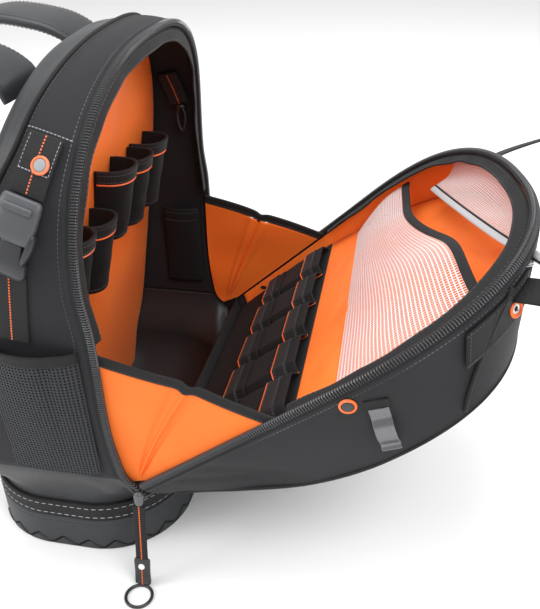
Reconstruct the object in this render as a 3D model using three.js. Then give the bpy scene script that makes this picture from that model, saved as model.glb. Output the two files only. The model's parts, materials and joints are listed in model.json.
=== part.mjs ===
// Tool backpack standing open and empty: moulded base, upright body, front lid hanging forward.
// Millimetres, +Z up. The origin is the centre of the base's underside and the lid opens toward -Y.

import * as THREE from 'three';
import { mergeVertices } from 'three/addons/utils/BufferGeometryUtils.js';

// Base tray and the webbing band sewn above it
const baseWidth = 308;
const baseDepth = 200;
const baseHeight = 38;
const baseCornerRadius = 80;
const baseWall = 4.6;
const baseFloor = 7;
const bandHeight = 19;
const bandThickness = 3.2;

// Body: a shell with an arched mouth at the front and a sloping back
const bodyWidth = 340;
const bodyHeight = 460;
const springHeight = 287;
const archPower = 2.6;
const footNarrowing = 0.03;
const tubHeight = 112;
const sillHeight = 90;
const shellWall = 4;
const sideBulge = 3;
const rearCornerRadius = 18;
const tubCornerRadius = 18;
const backFootSetback = 3; // from the base's rear edge to the back's foot
const backTopSet = -8;
const dividerFootSet = 36;
const dividerTopSet = -32;
const dividerThickness = 3;
const dividerFootHeight = 13;

// Zips, flaps and piping
const zipWidth = 6;
const zipThickness = 5;
const zipFootHeight = 97;
const flapWidth = 11;
const flapThickness = 2;
const pipingRadius = 1.8;

// Lid: a tray that tapers toward its hinge, laid open at an angle above level
const lidAngle = 39.5;
const hingeSetback = 7; // from the base's front edge to the hinge
const hingeHeight = 103;
const lidWidth = 352;
const lidLength = 385;
const lidSpring = 206;
const lidFootNarrowing = 0.05;
const lidPower = 2.4;
const lidSkew = 0.2; // how far the tip leans toward the left corner, per width
const lidTwist = 0.1; // how far the left corner drops, per width
const lidDepth = 83;
const lidFaceWidth = 320;
const lidFaceLength = 325;
const lidFaceSpring = 160;
const lidFacePower = 4;
const lidEdgeBevel = 9;
const liningThickness = 1.5;
const liningDepth = 40;

// Gussets between body and lid
const gussetBodyReach = 146;
const gussetLidReach = 152;
const gussetThickness = 1.6;
const gussetFold = 14;
const gussetSagLeft = 7;
const gussetSagRight = -8;
const bindingShare = 0.075;
const bindingThickness = 3.6;

// Inside the body
const tubeLength = 72;
const tubeDepth = 33;
const tubeWidth = 41;
const tubeWall = 1.6;
const wallPocketTop = 226;
const wallPocketFoot = 130;
const wallPocketGap = 9;
const wallPocketFront = -55;
const wallPocketRear = -12;
const hookWebWidth = 22;
const hookWebThickness = 3;
const hookWebDrop = 72; // from the body's top to the webbing's upper end
const hookWebLength = 36;
const hookWebSet = -37;
const hookWebLean = 8;
const hookLength = 30;
const hookThickness = 3.2;

// Inside the lid
const loopHeight = 9;
const loopWebWidth = 24;
const loopWebThickness = 1.4;
const loopCount = 5;
const lowerLoopSet = 80; // from the hinge to the middle of the row
const upperLoopSet = 138;
const loopReach = 151;
const netThickness = 1;
const netBindingWidth = 8;
const netBindingThickness = 2.6;
const largeNetRise = 24;
const largeNetReach = 155;
const largeNetFootDrop = 195; // from the lid's tip to the net's foot
const largeNetMouthDrop = 93;
const largeNetSwing = 22;
const largeNetSwingWidth = 55;
const largeNetWave = 4;
const largeNetWaveWidth = 30;
const tipNetReach = 116;
const tipNetMouthDrop = 51;
const tipNetLean = 0.235;
const tipNetEdgeDrop = 10;
const tipNetDepth = 9;
const tipNetEdgeDepth = 2;

// Outside of the lid
const frontPocketDepth = 6;
const frontPocketFoot = 130;
const frontPocketTopDrop = 22;
const faceWebWidth = 25;
const faceWebReach = 128;
const faceWebThickness = 1.4;
const lowerFaceWebSet = 57;
const upperFaceWebSet = 105;
const tipStrapWidth = 25;
const tipStrapThickness = 2;
const tipStrapReach = 90;
const clipWidth = 16;
const clipThickness = 1.6;
const clipStand = 6.5;
const clipHeightSet = 211; // from the hinge to the clip
const rivetRadius = 7;
const rivetHeight = 2.6;

// Side pockets, side straps and their buckles
const netPocketTop = bodyHeight - 220;
const netPocketFoot = 116;
const netPocketBulge = 11;
const netPocketFront = -54;
const netPocketRear = 28;
const sideNetThickness = 1.4;
const netHoleColumns = 4;
const netHoleRows = 6;
const hemHeight = 10;
const hemThickness = 2.6;
const sideStrapWidth = 29;
const sideStrapThickness = 2;
const sideStrapTopDrop = 48; // from the body's top to the strap's upper end
const sideStrapHeight = 37;
const sideStrapTopSet = -46;
const sideStrapLowSet = -33;
const sideStrapEndSet = -3;
const sideStrapEndGap = 8;
const sideRivetDrop = 18; // from the strap's upper end to the rivet
const sideRivetShift = 4.3;
const buckleLength = 56;
const buckleWidth = 34;
const buckleThickness = 11;

// Back pads and shoulder straps
const backPadThickness = 15;
const backPadSpread = 62;
const backPadDrop = 155; // from the body's top to the pad's middle
const backPadHalfWidth = 50;
const backPadHalfHeight = 108;
const lumbarPadThickness = 18;
const lumbarPadHeight = 148;
const lumbarPadHalfWidth = 118;
const lumbarPadHalfHeight = 40;
const shoulderWidth = 70;
const shoulderThickness = 13;
const shoulderWebWidth = 25;
const shoulderWebThickness = 3;
const shoulderSpread = 70;

// Zip pull
const sliderLength = 14;
const pullLean = 0.18;
const sliderWidth = 9;
const sliderThickness = 6;
const pullWebWidth = 11;
const pullWebThickness = 2;
const pullTabLength = 28;
const pullTabWidth = 15;
const pullTabThickness = 4.4;
const ringRadius = 12;
const ringThickness = 3;

const gap = 0.4;
const facetGap = 1.2; // room for the chords of a faceted arch

// How far the mouth of the body is set, from its lower end to its top
const mouthTable = [
	{ up: 0, set: -0.42 },
	{ up: 0.04, set: -0.35 },
	{ up: 0.1, set: -0.325 },
	{ up: 0.2, set: -0.307 },
	{ up: 0.45, set: -0.307 },
	{ up: 0.56, set: -0.29 },
	{ up: 0.7, set: -0.3 },
	{ up: 0.88, set: -0.34 },
	{ up: 1, set: -0.375 },
];

// Place of the body's piping between the mouth and the back, by height
const pipingTable = [
	{ up: 0, set: 0.87 },
	{ up: 0.69, set: 0.87 },
	{ up: 0.76, set: 0.84 },
	{ up: 0.82, set: 0.77 },
	{ up: 0.88, set: 0.63 },
	{ up: 0.93, set: 0.58 },
	{ up: 1, set: 0.46 },
];

// Depth of the lid's outer face below its rim, from the hinge to the tip
const lidDepthTable = [
	{ along: 0, deep: 0.24 },
	{ along: 0.115, deep: 0.4 },
	{ along: 0.2, deep: 0.55 },
	{ along: 0.4, deep: 0.86 },
	{ along: 0.6, deep: 1 },
	{ along: 1, deep: 0.98 },
];

// Depth of the lining below the lid's rim, as shares of the lining's deepest stretch
const liningTable = [
	{ along: 0, deep: 0.26 },
	{ along: 0.38, deep: 0.3 },
	{ along: 0.62, deep: 0.6 },
	{ along: 0.82, deep: 0.85 },
	{ along: 1, deep: 1 },
];

// Tube pockets on the divider: place across the bag and height of the mouth
const tubeTable = [
	{ across: -0.5, mouth: 0.668 },
	{ across: -0.21, mouth: 0.655 },
	{ across: 0.085, mouth: 0.725 },
	{ across: 0.36, mouth: 0.71 },
	{ across: 0.63, mouth: 0.712 },
];

// Shoulder strap route: how far behind the back, how high, and how far out from its upper place
const shoulderTable = [
	{ behind: 0, up: 0.915, out: 0, padded: 0.75 },
	{ behind: 0.05, up: 0.95, out: 0, padded: 0.9 },
	{ behind: 0.25, up: 0.98, out: 0, padded: 1 },
	{ behind: 0.6, up: 0.985, out: 0.05, padded: 1 },
	{ behind: 0.86, up: 0.92, out: 0.1, padded: 1 },
	{ behind: 0.91, up: 0.8, out: 0.2, padded: 1 },
	{ behind: 0.79, up: 0.65, out: 0.4, padded: 1 },
	{ behind: 0.6, up: 0.5, out: 0.65, padded: 0.9 },
	{ behind: 0.43, up: 0.39, out: 0.85, padded: 0.55 },
	{ behind: 0.27, up: 0.31, out: 0.95, padded: 0 },
	{ behind: 0.04, up: 0.25, out: 1, padded: 0 },
	{ behind: 0, up: 0.2, out: 1, padded: 0 },
];
const shoulderReach = 165;
const shoulderOut = 58;

const lerp = ( a, b, t ) => a + ( b - a ) * t;
const clamp01 = ( t ) => Math.min( 1, Math.max( 0, t ) );
const ease = ( t ) => clamp01( t ) ** 2 * ( 3 - 2 * clamp01( t ) );
const steps = ( count ) => Array.from( { length: count + 1 }, ( _, i ) => i / count );

// Reads one column of a table at x, with a cubic through its rows
function readTable( table, key, column, x ) {

	const last = table.length - 1;
	let i = 0;
	while ( i < last - 1 && x > table[ i + 1 ][ key ] ) i ++;
	const slope = ( k ) => {

		const a = table[ Math.max( 0, k - 1 ) ];
		const b = table[ Math.min( last, k + 1 ) ];
		return ( b[ column ] - a[ column ] ) / ( b[ key ] - a[ key ] );

	};

	const width = table[ i + 1 ][ key ] - table[ i ][ key ];
	const t = clamp01( ( x - table[ i ][ key ] ) / width );
	const h = [ 2 * t ** 3 - 3 * t ** 2 + 1, t ** 3 - 2 * t ** 2 + t, 3 * t ** 2 - 2 * t ** 3, t ** 3 - t ** 2 ];
	return h[ 0 ] * table[ i ][ column ] + h[ 1 ] * width * slope( i ) +
		h[ 2 ] * table[ i + 1 ][ column ] + h[ 3 ] * width * slope( i + 1 );

}

// Closed solid from a list of triangles, turned to face out
function solid( triangles ) {

	const raw = new THREE.BufferGeometry();
	raw.setAttribute( 'position', new THREE.Float32BufferAttribute( triangles.flat( 2 ), 3 ) );
	const merged = mergeVertices( raw, 0.002 );
	const place = merged.getAttribute( 'position' );
	const corners = merged.getIndex().array;
	const kept = [];
	const point = ( i ) => new THREE.Vector3().fromBufferAttribute( place, i );
	let volume = 0;
	for ( let i = 0; i < corners.length; i += 3 ) {

		const [ a, b, c ] = corners.slice( i, i + 3 );
		if ( a === b || b === c || a === c ) continue;
		kept.push( a, b, c );
		volume += point( a ).dot( point( b ).cross( point( c ) ) );

	}

	if ( volume < 0 ) kept.reverse();
	merged.setIndex( kept );
	merged.computeVertexNormals();
	return merged;

}

const quad = ( a, b, c, d ) => [ [ a, b, c ], [ a, c, d ] ];

// Solid through a stack of loops with equal counts: capped at both ends, or closed into a ring
function stack( loops, ring = false ) {

	const triangles = [];
	const count = loops[ 0 ].length;
	const rows = ring ? loops.length : loops.length - 1;
	for ( let k = 0; k < rows; k ++ ) {

		const low = loops[ k ];
		const high = loops[ ( k + 1 ) % loops.length ];
		for ( let i = 0; i < count; i ++ ) {

			const j = ( i + 1 ) % count;
			triangles.push( ...quad( low[ i ], low[ j ], high[ j ], high[ i ] ) );

		}

	}

	if ( ! ring ) {

		const middle = ( loop ) => [ 0, 1, 2 ].map( ( c ) => loop.reduce( ( sum, p ) => sum + p[ c ], 0 ) / count );
		const first = loops[ 0 ];
		const last = loops[ loops.length - 1 ];
		for ( let i = 0; i < count; i ++ ) {

			const j = ( i + 1 ) % count;
			triangles.push( [ middle( first ), first[ j ], first[ i ] ], [ middle( last ), last[ i ], last[ j ] ] );

		}

	}

	return solid( triangles );

}

// Solid between two surfaces over the same grid; cells that isHole names are cut through
function sheet( front, back, across, along, isHole = () => false ) {

	const triangles = [];
	const face = ( surface, i, j ) => surface( i / across, j / along );
	const open = ( i, j ) => i < 0 || j < 0 || i >= across || j >= along || isHole( i, j );
	for ( let i = 0; i < across; i ++ ) for ( let j = 0; j < along; j ++ ) {

		if ( isHole( i, j ) ) continue;
		const corners = [ [ i, j ], [ i + 1, j ], [ i + 1, j + 1 ], [ i, j + 1 ] ];
		const near = corners.map( ( [ a, b ] ) => face( front, a, b ) );
		const far = corners.map( ( [ a, b ] ) => face( back, a, b ) );
		triangles.push( ...quad( ...near ), ...quad( ...far.slice().reverse() ) );
		const beyond = [ [ i, j - 1 ], [ i + 1, j ], [ i, j + 1 ], [ i - 1, j ] ];
		beyond.forEach( ( [ a, b ], k ) => {

			const n = ( k + 1 ) % 4;
			if ( open( a, b ) ) triangles.push( ...quad( near[ k ], far[ k ], far[ n ], near[ n ] ) );

		} );

	}

	return solid( triangles );

}

// Solid of one cross-section carried through frames { at, wide, thick } with half sizes per frame
function sweep( frames, section ) {

	return stack( frames.map( ( frame ) => section.map( ( [ a, b ] ) => [ 0, 1, 2 ].map( ( c ) =>
		frame.at[ c ] + frame.wide[ c ] * a * frame.halfWide + frame.thick[ c ] * b * frame.halfThick ) ) ) );

}

const boxSection = [ [ - 1, - 1 ], [ 1, - 1 ], [ 1, 1 ], [ - 1, 1 ] ];
const softSection = [ [ - 1, 0 ], [ - 0.8, - 0.85 ], [ 0, - 1 ], [ 0.8, - 0.85 ],
	[ 1, 0 ], [ 0.8, 0.85 ], [ 0, 1 ], [ - 0.8, 0.85 ] ];
const roundSection = ( sides ) => steps( sides ).slice( 0, sides ).map( ( t ) =>
	[ Math.cos( 2 * Math.PI * t ), Math.sin( 2 * Math.PI * t ) ] );

// Arched outline: straight sides, then a superellipse; share 0 is the left foot and 1 the right
const bodyArch = { half: bodyWidth / 2, foot: tubHeight, spring: springHeight, top: bodyHeight,
	power: archPower, narrowing: footNarrowing };
const zipArch = { ...bodyArch, foot: zipFootHeight };
const lidArch = { half: lidWidth / 2, foot: 0, spring: lidSpring, top: lidLength,
	power: lidPower, narrowing: lidFootNarrowing };
const faceArch = { half: lidFaceWidth / 2, foot: 0, spring: lidFaceSpring, top: lidFaceLength,
	power: lidFacePower, narrowing: lidFootNarrowing };
const straightShare = 0.26;

const taper = ( arch, up ) => 1 - arch.narrowing * ( 1 - clamp01( ( up - arch.foot ) / ( arch.spring - arch.foot ) ) ) ** 2;

function archPoint( share, arch, inset = 0 ) {

	const side = share < 0.5 ? - 1 : 1;
	const run = Math.min( share, 1 - share );
	const half = arch.half - inset;
	if ( run <= straightShare ) {

		const up = lerp( arch.foot, arch.spring, run / straightShare );
		return { across: side * ( arch.half * taper( arch, up ) - inset ), up };

	}

	const turn = ( run - straightShare ) / ( 0.5 - straightShare ) * Math.PI / 2;
	return {
		across: side * half * Math.abs( Math.cos( turn ) ) ** ( 2 / arch.power ),
		up: arch.spring + ( arch.top - inset - arch.spring ) * Math.sin( turn ) ** ( 2 / arch.power ),
	};

}

// Share of the outline, on its left side, where it reaches a height
function shareAt( up, arch ) {

	if ( up <= arch.spring ) return straightShare * ( up - arch.foot ) / ( arch.spring - arch.foot );
	const rise = clamp01( ( up - arch.spring ) / ( arch.top - arch.spring ) );
	return straightShare + ( 0.5 - straightShare ) * Math.asin( rise ** ( arch.power / 2 ) ) / ( Math.PI / 2 );

}

// Half width of an outline at a height
function halfAt( up, arch, inset = 0 ) {

	if ( up <= arch.spring ) return arch.half * taper( arch, up ) - inset;
	const rise = clamp01( ( up - arch.spring ) / ( arch.top - inset - arch.spring ) );
	return ( arch.half - inset ) * ( 1 - rise ** arch.power ) ** ( 1 / arch.power );

}

// Places of the mouth, the back and the divider at a height
const mouthFoot = zipFootHeight;
const mouthY = ( z ) => baseDepth * readTable( mouthTable, 'up', 'set', ( z - mouthFoot ) / ( bodyHeight - mouthFoot ) );
const backY = ( z ) => lerp( baseDepth / 2 - backFootSetback, backTopSet, ( z - baseHeight ) / ( bodyHeight - baseHeight ) );
const dividerY = ( z ) => lerp( dividerFootSet, dividerTopSet, ( z - baseHeight ) / ( bodyHeight - baseHeight ) );

// Point on the body's side skin, at a share of the arch and a place from mouth to rear corner
function sidePoint( share, y, outset = 0 ) {

	const plain = archPoint( share, bodyArch );
	const from = mouthY( plain.up );
	const depth = clamp01( ( y - from ) / ( backY( plain.up ) - rearCornerRadius - from ) );
	const swell = sideBulge * Math.sin( Math.PI * depth ) * ease( ( plain.up - tubHeight ) / tubHeight );
	const p = archPoint( share, bodyArch, - outset - swell );
	return [ p.across, y, p.up ];

}

// Point on the left side skin by height
const leftPoint = ( y, z, outset ) => sidePoint( shareAt( z, bodyArch ), y, outset );
const mirrored = ( p ) => [ - p[ 0 ], p[ 1 ], p[ 2 ] ];
const sideOf = ( sign ) => ( sign < 0 ? ( p ) => p : mirrored );

// Place in the body's frame of a point of the lid: across, along from the hinge, outward from the rim
const tilt = THREE.MathUtils.degToRad( lidAngle );
const hingeSet = hingeSetback - baseDepth / 2;

// The rim leans toward the tip's left corner and drops there; this fades toward the outer face
function lidLean( [ x, along, out ] ) {

	const share = clamp01( along / lidLength ) ** 2 * ( 1 - clamp01( out / lidDepth ) );
	return [ x, along - lidSkew * x * share, out - lidTwist * x * share ];

}

function lidPoint( x, plainAlong, plainOut ) {

	const [ , along, out ] = lidLean( [ x, plainAlong, plainOut ] );
	return [ x,
		hingeSet - along * Math.cos( tilt ) - out * Math.sin( tilt ),
		hingeHeight + along * Math.sin( tilt ) - out * Math.cos( tilt ) ];

}

const faceDepth = ( along ) => lidDepth * readTable( lidDepthTable, 'along', 'deep', clamp01( along / lidFaceLength ) );
const liningAt = ( along ) => liningDepth * readTable( liningTable, 'along', 'deep', clamp01( along / lidLength ) );

const backpack = new THREE.Group();
const lid = new THREE.Group();
lid.position.set( 0, hingeSet, hingeHeight );
lid.rotation.x = Math.PI - tilt;
backpack.add( lid );

const finishes = {
	twill: { color: 0x2b2c2f, roughness: 0.85, metalness: 0 },
	rearCloth: { color: 0x3a3b3e, roughness: 0.55, metalness: 0 },
	webbing: { color: 0x141416, roughness: 0.8, metalness: 0 },
	orange: { color: 0xf26a1e, roughness: 0.75, metalness: 0 },
	rubber: { color: 0x3c3d40, roughness: 0.6, metalness: 0 },
	net: { color: 0x37383a, roughness: 0.8, metalness: 0 },
	paleNet: { color: 0xd9d5d2, roughness: 0.6, metalness: 0 },
	coil: { color: 0x1b1b1d, roughness: 0.4, metalness: 0.1 },
	plastic: { color: 0x1d1e20, roughness: 0.4, metalness: 0 },
	steel: { color: 0xa8aaad, roughness: 0.3, metalness: 1 },
};

function addPart( name, geometry, finish, parent = backpack ) {

	if ( parent === lid ) {

		const place = geometry.getAttribute( 'position' );
		for ( let i = 0; i < place.count; i ++ )
			place.setXYZ( i, ...lidLean( [ place.getX( i ), place.getY( i ), place.getZ( i ) ] ) );
		geometry.computeVertexNormals();

	}

	const mesh = new THREE.Mesh( geometry, new THREE.MeshStandardMaterial( finishes[ finish ] ) );
	mesh.name = name;
	parent.add( mesh );

}

// Rounded rectangle in plan, with its own radius at the front and the rear
const arcSteps = 5;
const sideSteps = 2;
function planLoop( half, front, rear, frontRadius, rearRadius, height ) {

	const corners = [
		{ x: - 1, y: front + frontRadius, r: frontRadius, from: 1 },
		{ x: 1, y: front + frontRadius, r: frontRadius, from: 1.5 },
		{ x: 1, y: rear - rearRadius, r: rearRadius, from: 0 },
		{ x: - 1, y: rear - rearRadius, r: rearRadius, from: 0.5 },
	];
	const arcs = corners.map( ( c ) => steps( arcSteps ).map( ( t ) => {

		const turn = ( c.from + t / 2 ) * Math.PI;
		return [ c.x * ( half - c.r ) + c.r * Math.cos( turn ), c.y + c.r * Math.sin( turn ) ];

	} ) );
	const loop = arcs.flatMap( ( arc, k ) => {

		const end = arc[ arcSteps ];
		const next = arcs[ ( k + 1 ) % 4 ][ 0 ];
		const between = steps( sideSteps ).slice( 1, sideSteps ).map( ( t ) =>
			[ lerp( end[ 0 ], next[ 0 ], t ), lerp( end[ 1 ], next[ 1 ], t ) ] );
		return [ ...arc, ...between ];

	} );
	return loop.map( ( [ x, y ] ) => [ x, y, height( x, y ) ] );

}

const baseLoop = ( inset, z ) => planLoop( baseWidth / 2 - inset, - baseDepth / 2 + inset, baseDepth / 2 - inset,
	baseCornerRadius - inset, baseCornerRadius - inset, () => z );

function makeBase() {

	const lip = 1.5;
	const chamfer = 3;
	addPart( 'base_tray', stack( [
		baseLoop( chamfer, 0 ),
		baseLoop( 0, chamfer ),
		baseLoop( 0, baseHeight - lip ),
		baseLoop( lip, baseHeight ),
		baseLoop( baseWall, baseHeight ),
		baseLoop( baseWall, baseFloor ),
	] ), 'rubber' );
	const low = baseHeight + gap;
	const outer = baseWall - bandThickness;
	addPart( 'base_band', stack( [
		baseLoop( outer, low ),
		baseLoop( outer, low + bandHeight ),
		baseLoop( baseWall, low + bandHeight ),
		baseLoop( baseWall, low ),
	], true ), 'webbing' );

}

// The tub spreads from the base's plan to the body's, and its rim dips to a sill at the front
const tubInset = baseWall + gap;
const bandTop = baseHeight + bandHeight;
const rimDip = ( y ) => lerp( sillHeight, tubHeight, ease( ( y - mouthY( zipFootHeight ) + 4 ) / 18 ) );

function tubLoop( rise, inset ) {

	const radius = lerp( baseCornerRadius - tubInset, tubCornerRadius, ease( rise ) );
	return planLoop(
		lerp( baseWidth / 2 - tubInset, halfAt( tubHeight, bodyArch ), ease( rise ) ) - inset,
		- baseDepth / 2 + tubInset - rise + inset,
		lerp( baseDepth / 2 - tubInset, backY( tubHeight ), rise ) - inset,
		radius - inset, lerp( baseCornerRadius - tubInset, rearCornerRadius, ease( rise ) ) - inset,
		( x, y ) => lerp( bandTop + 1, rimDip( y ), rise ) );

}

function makeTub() {

	const chamfer = 3;
	const rises = steps( 3 );
	addPart( 'lower_tub', stack( [
		baseLoop( tubInset + chamfer, baseFloor + gap ),
		baseLoop( tubInset, baseFloor + gap + chamfer ),
		...rises.map( ( rise ) => tubLoop( rise, 0 ) ),
		...rises.slice().reverse().map( ( rise ) => tubLoop( rise, shellWall ) ),
		baseLoop( tubInset + shellWall, baseFloor + gap + shellWall ),
	] ), 'twill' );

}

function makeBody() {

	const sideRows = 3;
	const cornerRows = 3;
	const backRows = 2;
	const rows = sideRows + cornerRows + backRows;
	const foot = tubHeight + gap;
	const skin = ( inset ) => ( u, v ) => {

		const row = Math.round( v * rows );
		const plain = archPoint( u, bodyArch );
		const lift = ( p ) => [ p[ 0 ], p[ 1 ], Math.max( p[ 2 ], foot ) ];
		if ( row <= sideRows ) {

			const y = lerp( mouthY( plain.up ), backY( plain.up ) - rearCornerRadius, row / sideRows );
			return lift( sidePoint( u, y, - inset ) );

		}

		const radius = rearCornerRadius - inset;
		const turn = Math.min( 1, ( row - sideRows ) / cornerRows ) * Math.PI / 2;
		const p = archPoint( u, bodyArch, inset + radius * ( 1 - Math.cos( turn ) ) );
		const shrink = 1 - Math.max( 0, row - sideRows - cornerRows ) / backRows;
		const up = lerp( tubHeight, p.up, shrink );
		return lift( [ p.across * shrink, backY( up ) - inset - radius * ( 1 - Math.sin( turn ) ), up ] );

	};

	addPart( 'body_shell', sheet( skin( 0 ), skin( shellWall ), 32, rows ), 'twill' );

	const pipingFrames = steps( 32 ).map( ( share ) => {

		const plain = archPoint( share, bodyArch, 0 );
		const set = readTable( pipingTable, 'up', 'set', plain.up / bodyHeight );
		const y = lerp( mouthY( plain.up ), backY( plain.up ), set );
		const at = sidePoint( share, y, pipingRadius + gap );
		const side = archPoint( share, bodyArch, - 1 );
		const normal = new THREE.Vector3( side.across - plain.across, 0, side.up - plain.up ).normalize().toArray();
		return { at: [ at[ 0 ], y, Math.max( at[ 2 ], foot ) ], wide: [ 0, 1, 0 ], thick: normal,
			halfWide: pipingRadius, halfThick: pipingRadius };

	} );
	addPart( 'body_piping', sweep( pipingFrames, roundSection( 5 ) ), 'webbing' );

}

// Ribbon that follows an arch at a set of insets and places from the arch's own plane
function archRibbon( arch, from, to, count, corners ) {

	return stack( steps( count ).map( ( t ) => {

		const share = lerp( from, to, t );
		return corners.map( ( { inset, off } ) => {

			const p = archPoint( share, arch, inset );
			return [ p.across, off, p.up, archPoint( share, arch ).up ];

		} ).map( ( [ across, off, up, plainUp ] ) => arch === lidArch
			? [ across, up, off ] : [ across, mouthY( plainUp ) + off, up ] );

	} ) );

}

const bandCorners = ( insetA, insetB, offA, offB ) => [
	{ inset: insetA, off: offA }, { inset: insetB, off: offA }, { inset: insetB, off: offB }, { inset: insetA, off: offB } ];

function makeZips() {

	addPart( 'body_zip', archRibbon( zipArch, 0, 1, 38, bandCorners( 0, zipThickness, - zipWidth - 3 * gap, - 3 * gap ) ), 'coil' );
	addPart( 'lid_zip', archRibbon( lidArch, 0, 1, 38, bandCorners( 0, zipThickness, - zipWidth - gap, - gap ) ), 'coil', lid );
	const flapStart = shareAt( zipFootHeight + gussetBodyReach + 8, zipArch );
	const near = zipThickness + facetGap;
	addPart( 'body_flap', archRibbon( zipArch, flapStart, 1 - flapStart, 28,
		bandCorners( near, near + flapWidth, - flapThickness - 2, - 2 ) ), 'webbing' );
	const lidFlapStart = shareAt( gussetLidReach + 8, lidArch );
	addPart( 'lid_flap', archRibbon( lidArch, lidFlapStart, 1 - lidFlapStart, 28,
		bandCorners( near, near + flapWidth, - flapThickness - 2, - 2 ) ), 'webbing', lid );

}

// Padded divider, faced with the lining, that stands inside the body from the floor to the arch
function makeDivider() {

	const inner = ( z ) => {

		if ( z > tubHeight ) return halfAt( z, bodyArch, shellWall ) - facetGap;
		const rise = clamp01( ( z - bandTop ) / ( tubHeight - bandTop ) );
		const radius = lerp( baseCornerRadius - tubInset, rearCornerRadius, ease( rise ) ) - shellWall;
		const rear = lerp( baseDepth / 2 - tubInset, backY( tubHeight ), rise ) - shellWall;
		const past = Math.max( 0, dividerY( z ) + dividerThickness - ( rear - radius ) );
		const half = lerp( baseWidth / 2 - tubInset, halfAt( tubHeight, bodyArch ), ease( rise ) ) - shellWall;
		return half - radius + Math.sqrt( radius ** 2 - past ** 2 ) - 2 * facetGap;

	};

	const top = bodyHeight - shellWall - facetGap;
	const rows = [ 0, 0.1, 0.22, 0.26, 0.4, 0.56, 0.68, 0.78, 0.87, 0.94, 0.98, 1 ];
	const face = ( back ) => ( u, v ) => {

		const z = lerp( dividerFootHeight, top, rows[ Math.round( v * ( rows.length - 1 ) ) ] );
		const half = v === 1 ? 0 : inner( z );
		return [ half * ( 2 * u - 1 ), dividerY( z ) + back, z ];

	};

	addPart( 'divider_panel', sheet( face( 0 ), face( dividerThickness ), 6, rows.length - 1 ), 'orange' );

}

// Tube pockets, open at both ends, sewn to the divider
function makeTubes() {

	tubeTable.forEach( ( row, k ) => {

		const mouth = row.mouth * bodyHeight;
		const centre = row.across * bodyWidth / 2;
		const face = ( inset ) => ( u, v ) => {

			const z = lerp( mouth - tubeLength, mouth, v );
			const narrow = lerp( 0.82, 1, v );
			const turn = ( u - 0.5 ) * Math.PI;
			const half = tubeWidth / 2 * narrow - inset;
			const deep = tubeDepth * narrow - inset;
			const bulge = Math.sqrt( Math.abs( Math.cos( turn ) ) );
			return [ centre + half * Math.sin( turn ), dividerY( z ) - gap - deep * bulge, z ];

		};

		addPart( `tube_pocket_${ k + 1 }`, sheet( face( 0 ), face( tubeWall ), 8, 1 ), 'webbing' );

	} );

	// Flat pocket on the right wall
	const pocket = ( inset ) => ( u, v ) => {

		const z = lerp( wallPocketFoot, wallPocketTop, v );
		const y = lerp( wallPocketFront + inset, wallPocketRear - inset, u );
		const stand = wallPocketGap * Math.sin( Math.PI * u ) ** 0.5 * lerp( 0.3, 1, v ) - inset;
		return [ halfAt( z, bodyArch, shellWall + gap ) - Math.max( stand, - inset ) - tubeWall, y, z ];

	};

	addPart( 'wall_pocket', sheet( pocket( 0 ), pocket( tubeWall ), 10, 2 ), 'webbing' );

	// Webbing with a snap hook, hanging on the right wall above the pocket
	const hookTop = { y: hookWebSet, z: bodyHeight - hookWebDrop };
	const hookLow = { y: hookWebSet - hookWebLean, z: hookTop.z - hookWebLength };
	const hang = ( inset ) => ( u, v ) => {

		const z = lerp( hookLow.z, hookTop.z, v );
		const y = lerp( hookLow.y, hookTop.y, v ) + ( u - 0.5 ) * hookWebWidth;
		const p = archPoint( 1 - shareAt( z, bodyArch ), bodyArch, inset );
		return [ p.across, y, p.up ];

	};

	const lining = shellWall + 2 * gap;
	addPart( 'hook_strap', sheet( hang( lining ), hang( lining + hookWebThickness ), 2, 4 ), 'webbing' );
	const frames = steps( 10 ).map( ( t ) => {

		const z = hookLow.z - hookThickness - gap - hookLength * t;
		const open = Math.sin( Math.PI * t );
		return { at: [ halfAt( z, bodyArch, lining + hookThickness / 2 + 2 * gap ), hookLow.y - 2 * hookThickness * open, z ],
			wide: [ 0, 1, 0 ], thick: [ 1, 0, 0 ], halfWide: lerp( hookThickness * 1.6, hookThickness * 0.6, open ),
			halfThick: hookThickness / 2 };

	} );
	addPart( 'snap_hook', sweep( frames, softSection ), 'steel' );

}

// Folding gussets that hold the lid: a body edge, a crease and a lid edge meet at the hinge
const gussetInset = zipThickness + bindingThickness / 2 + gap;
function gussetPoint( u, v, side ) {

	const z = lerp( zipFootHeight + 6, zipFootHeight + gussetBodyReach, v );
	const bodyEdge = [ side * halfAt( z, zipArch, gussetInset ), mouthY( z ) - 3, z ];
	const along = lerp( 6, gussetLidReach, v );
	const lidEdge = lidPoint( side * halfAt( along, lidArch, gussetInset ), along, - 3 );
	const fold = gussetFold * v * ( 1 - Math.abs( 2 * u - 1 ) );
	const sag = ( side < 0 ? gussetSagLeft : gussetSagRight ) * v * v * Math.sin( Math.PI * u );
	return [ lerp( bodyEdge[ 0 ], lidEdge[ 0 ], u ) - side * fold, lerp( bodyEdge[ 1 ], lidEdge[ 1 ], u ),
		lerp( bodyEdge[ 2 ], lidEdge[ 2 ], u ) - sag ];

}

function makeGussets() {

	const panel = ( from, to, thickness, face, side ) => ( u, v ) => {

		const p = gussetPoint( u, lerp( from, to, v ), side );
		return [ p[ 0 ] + face * thickness / 2, p[ 1 ], p[ 2 ] ];

	};

	for ( const [ name, side ] of [ [ 'left', - 1 ], [ 'right', 1 ] ] ) {

		const seam = 1 - bindingShare;
		const cloth = [ 0, seam, gussetThickness ];
		const edge = [ seam + 0.004, 1, bindingThickness ];
		addPart( `gusset_${ name }`, sheet( panel( ...cloth, - 1, side ), panel( ...cloth, 1, side ), 6, 4 ), 'orange' );
		addPart( `gusset_binding_${ name }`, sheet( panel( ...edge, - 1, side ), panel( ...edge, 1, side ), 6, 1 ), 'webbing' );

	}

}

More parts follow.
